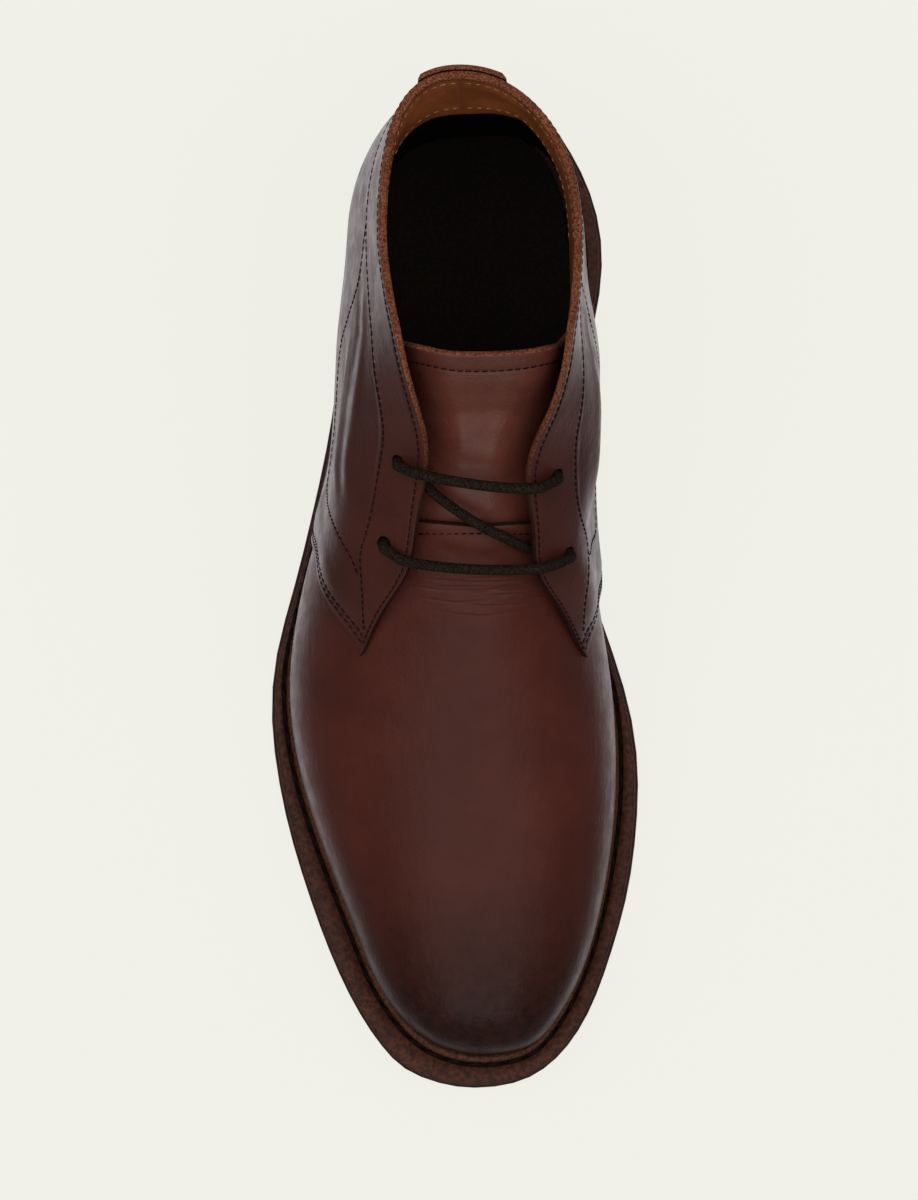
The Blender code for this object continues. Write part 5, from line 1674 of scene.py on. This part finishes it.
def eased(points):
    """A smooth line inside the corners of a run of points."""
    line = np.array(points, float)
    for _ in range(3):
        near = 0.75 * line[:-1] + 0.25 * line[1:]
        far = 0.25 * line[:-1] + 0.75 * line[1:]
        cut_line = np.stack([near, far], axis=1).reshape(-1, 3)
        line = np.concatenate([line[:1], cut_line[1:-1], line[-1:]])
    return line


def flap_place(side, along, level, height):
    """A point over or under a flap, at a height above the sheet it is made from."""
    return quarter_point(float(knot_at(y_at(along), side)), level, height)


def vamp_place(along, half):
    """A point over the vamp where the lace lies across it."""
    y = float(y_at(along))
    row = form_row(y)
    across = half * BALL_WIDTH - row["ridge_across"]
    share = abs(across) / (row["wide_medial"] - row["ridge_across"])
    point = arch_point(row, y, "medial", np.arccos(share ** (VAMP_FULLNESS / 2)))
    return point + np.array([0.0, 0.0, LACE_OFFSET + 0.25 * LACE_DIAMETER])


def lace_turn(name, side, over_end, under_end):
    """The lace's corners through one hole, from over the flap to under it."""
    centre, normal = eyelet_frame(side, *HOLES[name, side])
    over = over_end - centre
    over -= normal * normal.dot(over)
    under = under_end - centre
    under -= normal * normal.dot(under)
    over /= np.linalg.norm(over)
    under /= np.linalg.norm(under)
    top = centre + normal * LACE_OFFSET
    foot = centre - normal * (FLAP_FACE - FLAP_BACK + LACE_OFFSET)
    return [top + over * LACE_TURN, top, foot, foot + under * LACE_TURN]


print("lace over the leather in mm:", round(LACE_OFFSET / MM, 1))

# %% Lace path
below = FLAP_BACK - LACE_OFFSET
over_edge = FLAP_FACE + LACE_OFFSET + 0.3 * LACE_DIAMETER
bars = {}
for row in rows_of(LACE_BARS, LACE_BAR_COLUMNS):
    left = flap_place("lateral", row["lateral_along"], 1.0, over_edge)
    right = flap_place("medial", row["medial_along"], 1.0, over_edge)
    middle = 0.5 * (left + right)
    middle[1] = y_at(row["middle_along"])
    middle[2] -= row["sag"]
    bars[row["name"]] = left, middle, right
leave = flap_place("lateral", LACE_DIAGONAL[0], 1.0, below)
enter = flap_place("medial", LACE_DIAGONAL[1], 1.0, below)
tail_a = flap_place("medial", *LACE_END_TOP, below)
tail_b = flap_place("lateral", *LACE_END_BOTTOM, below)
top_bar, bottom_bar = bars["top"], bars["bottom"]
lace_corners = [tail_a]
lace_corners += lace_turn("top", "medial", top_bar[2], tail_a)[::-1]
lace_corners += top_bar[::-1]
lace_corners += lace_turn("top", "lateral", top_bar[0], leave)
lace_corners += [leave] + [vamp_place(*place) for place in LACE_OVER_VAMP] + [enter]
lace_corners += lace_turn("bottom", "medial", bottom_bar[2], enter)[::-1]
lace_corners += bottom_bar[::-1]
lace_corners += lace_turn("bottom", "lateral", bottom_bar[0], tail_b)
lace_corners += [tail_b]
lace_line = eased(lace_corners)
lace_reach = np.linalg.norm(np.diff(lace_line, axis=0), axis=1).sum()
print("lace from end to end in mm:", round(1000 * lace_reach, 1))

# %% Tools for the braid
BRAID_PLIES = 6
BRAID_PITCH_MM = 8.0
BRAID_DEPTH_MM = 0.24
BRAID_MEAN = 0.85
BRAID_CORE = 0.98


def carried_frame(line):
    """Two directions square to a line at each point, carried along without a twist."""
    run = np.gradient(line, axis=0)
    run /= np.linalg.norm(run, axis=1, keepdims=True)
    side = np.cross(run[0], [0.0, 0.0, 1.0])
    sides = []
    for direction in run:
        side = side - direction * side.dot(direction)
        side /= np.linalg.norm(side)
        sides.append(side)
    return np.array(sides), np.cross(run, np.array(sides))


def braid_relief(reach, angle):
    """Height of plies that wind both ways and cross, as a share of the depth."""
    turn = 2 * math.pi * reach / (BRAID_PITCH_MM * MM)
    one = np.cos(BRAID_PLIES * (angle + turn) / 2)
    other = np.cos(BRAID_PLIES * (angle - turn) / 2)
    return np.maximum(np.abs(one), np.abs(other)) - BRAID_MEAN


print("plies of the braid:", 2 * BRAID_PLIES)

# %% Braided lace
LACE_SIDES = 24
LACE_STEP_MM = 0.28
reach = np.concatenate([[0.0], np.cumsum(np.linalg.norm(np.diff(lace_line, axis=0), axis=1))])
places = np.arange(0.0, reach[-1], LACE_STEP_MM * MM)
smooth_line = np.stack([np.interp(places, reach, lace_line[:, k]) for k in range(3)], axis=1)
for _ in range(4):
    smooth_line[1:-1] = (smooth_line[:-2] + 2 * smooth_line[1:-1] + smooth_line[2:]) / 4
sides, ups = carried_frame(smooth_line)
angle = np.arange(LACE_SIDES) * 2 * math.pi / LACE_SIDES
relief = braid_relief(places[:, None], angle[None, :]) * BRAID_DEPTH_MM * MM
radius = 0.5 * LACE_DIAMETER * BRAID_CORE + relief
rings = (
    smooth_line[:, None]
    + sides[:, None] * (radius * np.cos(angle))[..., None]
    + ups[:, None] * (radius * np.sin(angle))[..., None]
)
count = len(places)
index = np.arange(count * LACE_SIDES).reshape(count, LACE_SIDES)
after = np.roll(index, -1, axis=1)
quads = np.stack([index[:-1], index[1:], after[1:], after[:-1]], axis=-1).reshape(-1, 4)
lace = mesh_piece(
    "lace_braid", rings.reshape(-1, 3), quads[:, ::-1], np.zeros(len(quads), int), [WAXED_LACE]
)
turn_outwards(lace, LACE_SIDES)
settle(lace, "waxed_lace", "lace")

# %% [markdown]
# ## Storm welt
#
# The welt is a strip of firm leather sewn round the upper. Its bead stands up against
# the vamp to keep water out, and the coarse outsole stitches sit in a groove beside it.
# A curve with a profile could be swept round the foot, but the bead fades at the heel, so
# each section is worked out by itself. A wheel has pressed fine marks across the bead.


# %% Foot line in plan
HEEL_KNOTS = np.linspace(LAST_SECTION_KNOT, BACK_KNOT, 200)
HEEL_LINE = WRAP(HEEL_KNOTS).reshape(-1, len(QUARTER_LEVELS), 3)[:, 0]


def foot_loop_point(side, share):
    """A point of the foot line in plan: share 0 is the toe tip and 1 the back seam."""
    toe = float(y_at(FORM_TOE))
    back = float(y_at(BACK[0][1]))
    y = toe + (back - toe) * 0.5 * (1 - math.cos(math.pi * share))
    if y <= float(y_at(QUARTER[-1][0])):
        return np.array([MIDLINE_X + SIGN[side] * float(form_row(y)["foot_" + side]), y])
    knot = float(np.interp(y, HEEL_LINE[:, 1], HEEL_KNOTS))
    if side == "medial":
        knot = 2 * BACK_KNOT - knot
    return wrap_point(knot, 0.0)[:2]


def foot_inward(side, share):
    """The direction into the boot, square to the foot line in plan."""
    step = 0.004
    low, high = max(0.0, share - step), min(1.0, share + step)
    tangent = foot_loop_point(side, high) - foot_loop_point(side, low)
    if share <= 0.0 or share >= 1.0:
        tangent = np.array([SIGN[side] * (1 if share <= 0.0 else -1), 0.0])
    tangent /= np.linalg.norm(tangent)
    return np.array([-tangent[1], tangent[0]]) * SIGN[side]


print("toe of the foot line in mm:", (foot_loop_point("medial", 0.0) / MM).round(1).tolist())

# %% The welt's outline
BEAD_END = BEAD_CLEARANCE + BEAD_WIDTH
GROOVE_END = BEAD_END + GROOVE_WIDTH
WELT_NEED = GROOVE_END + WELT_STEP + EDGE_BEVEL
STRIP_BEVEL = 0.0003
GROOVE_LIP = 0.0002
BEAD_STARTS = (0.42, 0.52)
BEAD_ROUND = [math.radians(a) for a in (172, 150, 125, 100, 75, 50, 28, 8)]


def bead_place(angle):
    """Distance from the foot line and height of a point round the bead."""
    return BEAD_CLEARANCE + BEAD_WIDTH * 0.5 * (1 + math.cos(angle)), BEAD_HEIGHT * math.sin(angle)


WELT_ROWS = [
    ("foot", -(VAMP_WALL + WELT_FLANGE), -WELT_THICK),
    ("sole", STRIP_BEVEL, -WELT_THICK),
    ("sole", 0.0, STRIP_BEVEL - WELT_THICK),
    ("sole", 0.0, -EDGE_BEVEL),
    ("sole", 0.3 * EDGE_BEVEL, -0.3 * EDGE_BEVEL),
    ("sole", EDGE_BEVEL, 0.0),
    ("groove", GROOVE_END + GROOVE_LIP, 0.0),
    ("groove", GROOVE_END - GROOVE_LIP, -0.4 * GROOVE_DEPTH),
    ("groove", BEAD_END + 0.5 * GROOVE_WIDTH, -GROOVE_DEPTH),
    ("groove", BEAD_END + 0.5 * GROOVE_LIP, -0.4 * GROOVE_DEPTH),
]
WELT_ROWS += [("bead", *bead_place(a)) for a in BEAD_ROUND[::-1]]
WELT_ROWS += [("foot", -(VAMP_WALL + WELT_FLANGE), 0.0)]


def welt_section(side, share):
    """The welt's outline at one place round the boot."""
    foot = foot_loop_point(side, share)
    inward = foot_inward(side, share)
    outer = sole_point(side, share, WELT_STEP)
    reach = max(1e-4, float(np.linalg.norm(outer - foot)))
    toward = (outer - foot) / reach
    room = min(1.0, reach / WELT_NEED)
    front = float(smooth(along_at(foot[1]), *BEAD_STARTS))
    swell = float(smooth(reach, 0.7 * WELT_NEED, WELT_NEED)) * front
    points = []
    for kind, distance, height in WELT_ROWS:
        if kind == "foot":
            x, y = foot - inward * distance
        elif kind == "sole":
            x, y = sole_point(side, share, WELT_STEP + distance)
        else:
            x, y = foot + toward * distance * room
            height = height * swell
        points.append([x, y, float(welt_top(y)) + height])
    return np.array(points), foot, swell


print("points of the welt's outline:", len(WELT_ROWS))

# %% Sweep round the foot
WELT_SHARES = 300
BEAD_MARK_MM = 1.15
BEAD_MARK_DEPTH_MM = 0.16
shares = np.linspace(0.0, 1.0, WELT_SHARES)
sections, feet, swells = [], [], []
for side, run in (("medial", shares), ("lateral", shares[::-1][1:-1])):
    for share in run:
        points, foot, swell = welt_section(side, float(share))
        sections.append(points)
        feet.append(foot)
        swells.append(swell)
ring = np.array(sections)
reach = np.concatenate([[0.0], np.cumsum(np.linalg.norm(np.diff(feet, axis=0), axis=1))])
bead = np.array([row[0] == "bead" for row in WELT_ROWS])
marks = np.abs(np.sin(math.pi * reach / (BEAD_MARK_MM * MM))) * BEAD_MARK_DEPTH_MM * MM
centre = ring[:, bead].mean(axis=1, keepdims=True)
outwards = ring - centre
outwards /= np.maximum(np.linalg.norm(outwards, axis=-1, keepdims=True), 1e-12)
ring += outwards * (marks * np.array(swells))[:, None, None] * bead[None, :, None]
count, rows = ring.shape[:2]
index = np.arange(count * rows).reshape(count, rows)
ahead, up = np.roll(index, -1, axis=0), np.roll(index, -1, axis=1)
quads = np.stack([index, ahead, np.roll(ahead, -1, axis=1), up], axis=-1).reshape(-1, 4)
print("sections round the foot:", count)

# %% Welt
# Stained, waxed and pressed flat with a hot iron: dull brown in small patches.
WELT_LEATHER = hide_fibre("waxed_welt_leather", "#6a3b2a", "#3a1f18", 1.5, 0.14, 0.5)
# The groove is nearly black.
WELT_GROOVE = hide_fibre("waxed_welt_groove", "#24130f", "#120a08", 1.0, 0.10, 0.7)
# The bead stands proud: its colour is lighter than the rest of the welt.
WELT_BEAD = hide_fibre("lighter_welt_bead", "#7d4f3a", "#43251b", 0.9, 0.18, 0.55)
part_of_row = {"groove": 1, "bead": 2}
strip = np.array([part_of_row.get(row[0], 0) for row in WELT_ROWS])
strip = np.minimum(strip, np.roll(strip, -1))
strip[np.array([row[0] for row in WELT_ROWS]) == "groove"] = 1
indices = np.tile(strip, count)
welt = mesh_piece(
    "storm_welt", ring.reshape(-1, 3), quads, indices, [WELT_LEATHER, WELT_GROOVE, WELT_BEAD]
)
turn_outwards(welt)
welt.data.set_sharp_from_angle(angle=math.radians(60))
settle(welt, "welt_leather", "welt")

# %% Welt stitches
WELT_STITCH_FROM = 0.40
WELT_STITCH_RISE = 0.0004
groove_row = [i for i, row in enumerate(WELT_ROWS) if row[2] == -GROOVE_DEPTH][0]
groove_line = ring[:, groove_row]
forward = along_at(groove_line[:, 1]) > WELT_STITCH_FROM
medial_run = groove_line[:WELT_SHARES][forward[:WELT_SHARES]]
lateral_run = groove_line[WELT_SHARES:][forward[WELT_SHARES:]]
welt_line = np.concatenate([lateral_run, medial_run])
welt_line = welt_line + up_by(np.full(len(welt_line), WELT_STITCH_RISE))
welt_up = np.tile([0.0, 0.0, 1.0], (len(welt_line), 1))
stitched(
    "stitches_welt", [(welt_line, welt_up)], DARK_THREAD, "welt_leather",
    pitch_mm=6.2, length_mm=4.9, thread_mm=1.3, rise=0.1, slant=0.10,
)

# %% [markdown]
# ## Sole, heel and insole
#
# These forms are plain, so the frame's own solids get the finishes. The outsole is moulded rubber with a
# trimmed edge, the heel is a stack of leather lifts whose layers show as lines, the top
# piece is harder rubber, and the insole is a leather painted near black as shade down in the shoe.


# %% Rubber
# Rubber's own grit is too fine to show: grains of 0.5 mm are drawn.
GRIT_MM = 0.5


def moulded_rubber(name, light, dark, rough):
    """Rubber pressed in a mould: dull, with dust in patches over a faint grit."""
    material, tree, shader = new_material(name, Metallic=0.0, IOR=1.52, Roughness=rough)
    place = add(tree, "TexCoord", {})["Object"]
    sockets = {"Vector": place, "Scale": cells_of(7.0), "Detail": 5.0, "Roughness": 0.65}
    cloud = add(tree, "TexNoise", sockets)["Fac"]
    dust = add(tree, "MapRange", dict(zip(RUN, (cloud, 0.35, 0.7))))["Result"]
    base = add(tree, "Mix", {SHARE: dust, FIRST: dark, SECOND: light})[MIXED]
    tree.links.new(base, shader.inputs["Base Color"])
    sockets = {"Vector": place, "Scale": cells_of(GRIT_MM), "Detail": 3.0, "Roughness": 0.55}
    grit = add(tree, "TexNoise", sockets)["Fac"]
    normal = add(tree, "Bump", {"Height": grit, "Distance": 0.06 * MM})["Normal"]
    tree.links.new(normal, shader.inputs["Normal"])
    return material


# Moulded and trimmed with a knife: a dull dark brown edge that matches the welt.
RUBBER_OUTSOLE = moulded_rubber("moulded_rubber_outsole", "#52291f", "#2c1612", 0.55)
# Harder and filled with soot: nearly black and a little duller.
RUBBER_TOP_PIECE = moulded_rubber("moulded_rubber_top_piece", "#26211f", "#171311", 0.6)
print("rubbers:", RUBBER_OUTSOLE.name, RUBBER_TOP_PIECE.name)

# %% Stacked leather and the insole
# A lift of the heel is cut from leather 2.9 mm thick.
LIFT_MM = 2.9


def stacked_leather(name, light, dark):
    """Leather lifts glued one on another: a dark line where two meet."""
    material, tree, shader = new_material(name, Metallic=0.0, IOR=1.5, Roughness=0.42)
    place = add(tree, "TexCoord", {})["Object"]
    height = add(tree, "SeparateXYZ", {"Vector": place})["Z"]
    lifts = add(tree, "Math", {0: height, 1: cells_of(LIFT_MM)}, operation="MULTIPLY")["Value"]
    part = add(tree, "Math", {0: lifts}, operation="FRACT")["Value"]
    line = add(tree, "MapRange", dict(zip(RUN, (part, 0.0, 0.12))))["Result"]
    sockets = {"Vector": place, "Scale": cells_of(2.0), "Detail": 5.0, "Roughness": 0.55}
    grain = add(tree, "TexNoise", sockets)["Fac"]
    base = add(tree, "Mix", {SHARE: grain, FIRST: dark, SECOND: light})[MIXED]
    base = add(tree, "Mix", {SHARE: line, FIRST: "#140a08", SECOND: base})[MIXED]
    tree.links.new(base, shader.inputs["Base Color"])
    normal = add(tree, "Bump", {"Height": line, "Distance": 0.15 * MM})["Normal"]
    tree.links.new(normal, shader.inputs["Normal"])
    return material


# Sanded, stained and waxed over a wheel: a satin side with the lifts as thin lines.
STACKED_LEATHER = stacked_leather("stacked_leather_lifts", "#4a2a20", "#301a14")
# Pressed by the foot and matt; its near-black colour is painted shade down in the shoe.
INSOLE_PAINTED_SHADE = hide_fibre("insole_leather_painted_shade", "#241409", "#120a06", 1.2, 0.05, 0.7)
print("sole leathers:", STACKED_LEATHER.name, INSOLE_PAINTED_SHADE.name)

# %% Finishes of the sole
CAD_FINISHES = {
    "outsole": RUBBER_OUTSOLE,
    "heel_top_piece": RUBBER_TOP_PIECE,
    "heel_stack": STACKED_LEATHER,
    "insole": INSOLE_PAINTED_SHADE,
}
for node, material in CAD_FINISHES.items():
    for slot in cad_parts[node].material_slots:
        slot.material = material
    print(node, "takes", material.name)

# %% [markdown]
# ## Floor and light
#
# The boot stands on a plain pale sweep in a soft studio. A pale dome is bright overhead
# and from below, where a lit floor throws light back, and dim at the sides, so that the
# steep walls catch a sheen along their edges and stay dark above it. Soft boxes stand on
# both sides and at the toe. The floor gives off a light of its own, as a lit sweep does,
# which keeps the shadow under the boot faint, and the boot's light and reflections come
# from the dome and not from the floor.

# %% Floor
FLOOR_SIZE = 16.0
PAPER_COLOUR = "#efefe7"
PAPER_GLOW = 0.94
FAR_GLOW = 0.75
GLOW_FADES = (0.35, 1.2)
# Rolled paper, lit from all sides: matt, even, and a little dimmer far from the boot.
floor_material, floor_tree, floor_shader = new_material(
    "matt_paper_sweep", Roughness=1.0, IOR=1.3, Base_Color=linear("#5f5f5c"),
    Specular_IOR_Level=0.0, Emission_Color=linear(PAPER_COLOUR),
)
spot = add(floor_tree, "TexCoord", {})["Object"]
away = add(floor_tree, "VectorMath", {0: spot}, operation="LENGTH")["Value"]
run = dict(zip(RUN, (away, *GLOW_FADES, PAPER_GLOW, FAR_GLOW)))
glow = add(floor_tree, "MapRange", run)["Result"]
floor_tree.links.new(glow, floor_shader.inputs["Emission Strength"])
sockets = {"Vector": spot, "Scale": cells_of(1.5), "Detail": 3.0, "Roughness": 0.55}
paper = add(floor_tree, "TexNoise", sockets)["Fac"]
normal = add(floor_tree, "Bump", {"Height": paper, "Distance": 0.01 * MM})["Normal"]
floor_tree.links.new(normal, floor_shader.inputs["Normal"])
bpy.ops.mesh.primitive_plane_add(size=FLOOR_SIZE)
floor = bpy.context.object
floor.name = "paper_sweep"
floor.data.materials.append(floor_material)
floor.visible_diffuse = False
floor.visible_glossy = False
print("floor in m:", FLOOR_SIZE)

# %% Dome
DOME_FOOT = 1.4
FOOT_COLOUR = "#f3eced"
DOME_LOW = 0.16
DOME_SIDES = 0.07
DOME_OVERHEAD = 0.95
world = bpy.data.worlds.new("studio_dome")
bpy.context.scene.world = world
world.use_nodes = True
dome = world.node_tree
direction = add(dome, "TexCoord", {})["Generated"]
rise = add(dome, "SeparateXYZ", {"Vector": direction})["Z"]
lift = add(dome, "MapRange", dict(zip(RUN, (rise, -0.5, 0.5))))["Result"]
tint = add(dome, "Mix", {SHARE: lift, FIRST: FOOT_COLOUR, SECOND: "#f4f1ec"})[MIXED]
run = dict(zip(RUN, (rise, -0.55, -0.97, DOME_LOW, DOME_FOOT)))
floor_light = add(dome, "MapRange", run)["Result"]
run = dict(zip(RUN, (rise, -0.02, 0.10, floor_light, DOME_SIDES)))
low = add(dome, "MapRange", run)["Result"]
run = dict(zip(RUN, (rise, 0.55, 0.92, 0.0, DOME_OVERHEAD - DOME_SIDES)))
high = add(dome, "MapRange", run)["Result"]
strength = add(dome, "Math", {0: low, 1: high}, operation="ADD")["Value"]
background = dome.nodes["Background"]
dome.links.new(tint, background.inputs["Color"])
dome.links.new(strength, background.inputs["Strength"])
print("light from below, the sides and above:", DOME_FOOT, DOME_SIDES, DOME_OVERHEAD)

# %% Soft boxes
SOFT_BOX_COLUMNS = ("name", "place", "width", "length", "watts")
SOFT_BOXES = (
    ("soft_box_left", (-0.85, 0.10, 1.30), 0.7, 1.2, 2.0),
    ("soft_box_right", (0.85, 0.05, 1.25), 0.7, 1.2, 1.5),
    ("soft_box_toe", (0.0, -1.15, 0.85), 1.0, 0.5, 1.6),
)
for row in rows_of(SOFT_BOXES, SOFT_BOX_COLUMNS):
    data = bpy.data.lights.new(row["name"], "AREA")
    data.shape = "RECTANGLE"
    data.size, data.size_y, data.energy = row["width"], row["length"], row["watts"]
    light = bpy.data.objects.new(row["name"], data)
    light.location = row["place"]
    light.rotation_euler = (-Vector(row["place"])).to_track_quat("-Z", "Y").to_euler()
    bpy.context.scene.collection.objects.link(light)
print("soft boxes:", len(SOFT_BOXES))
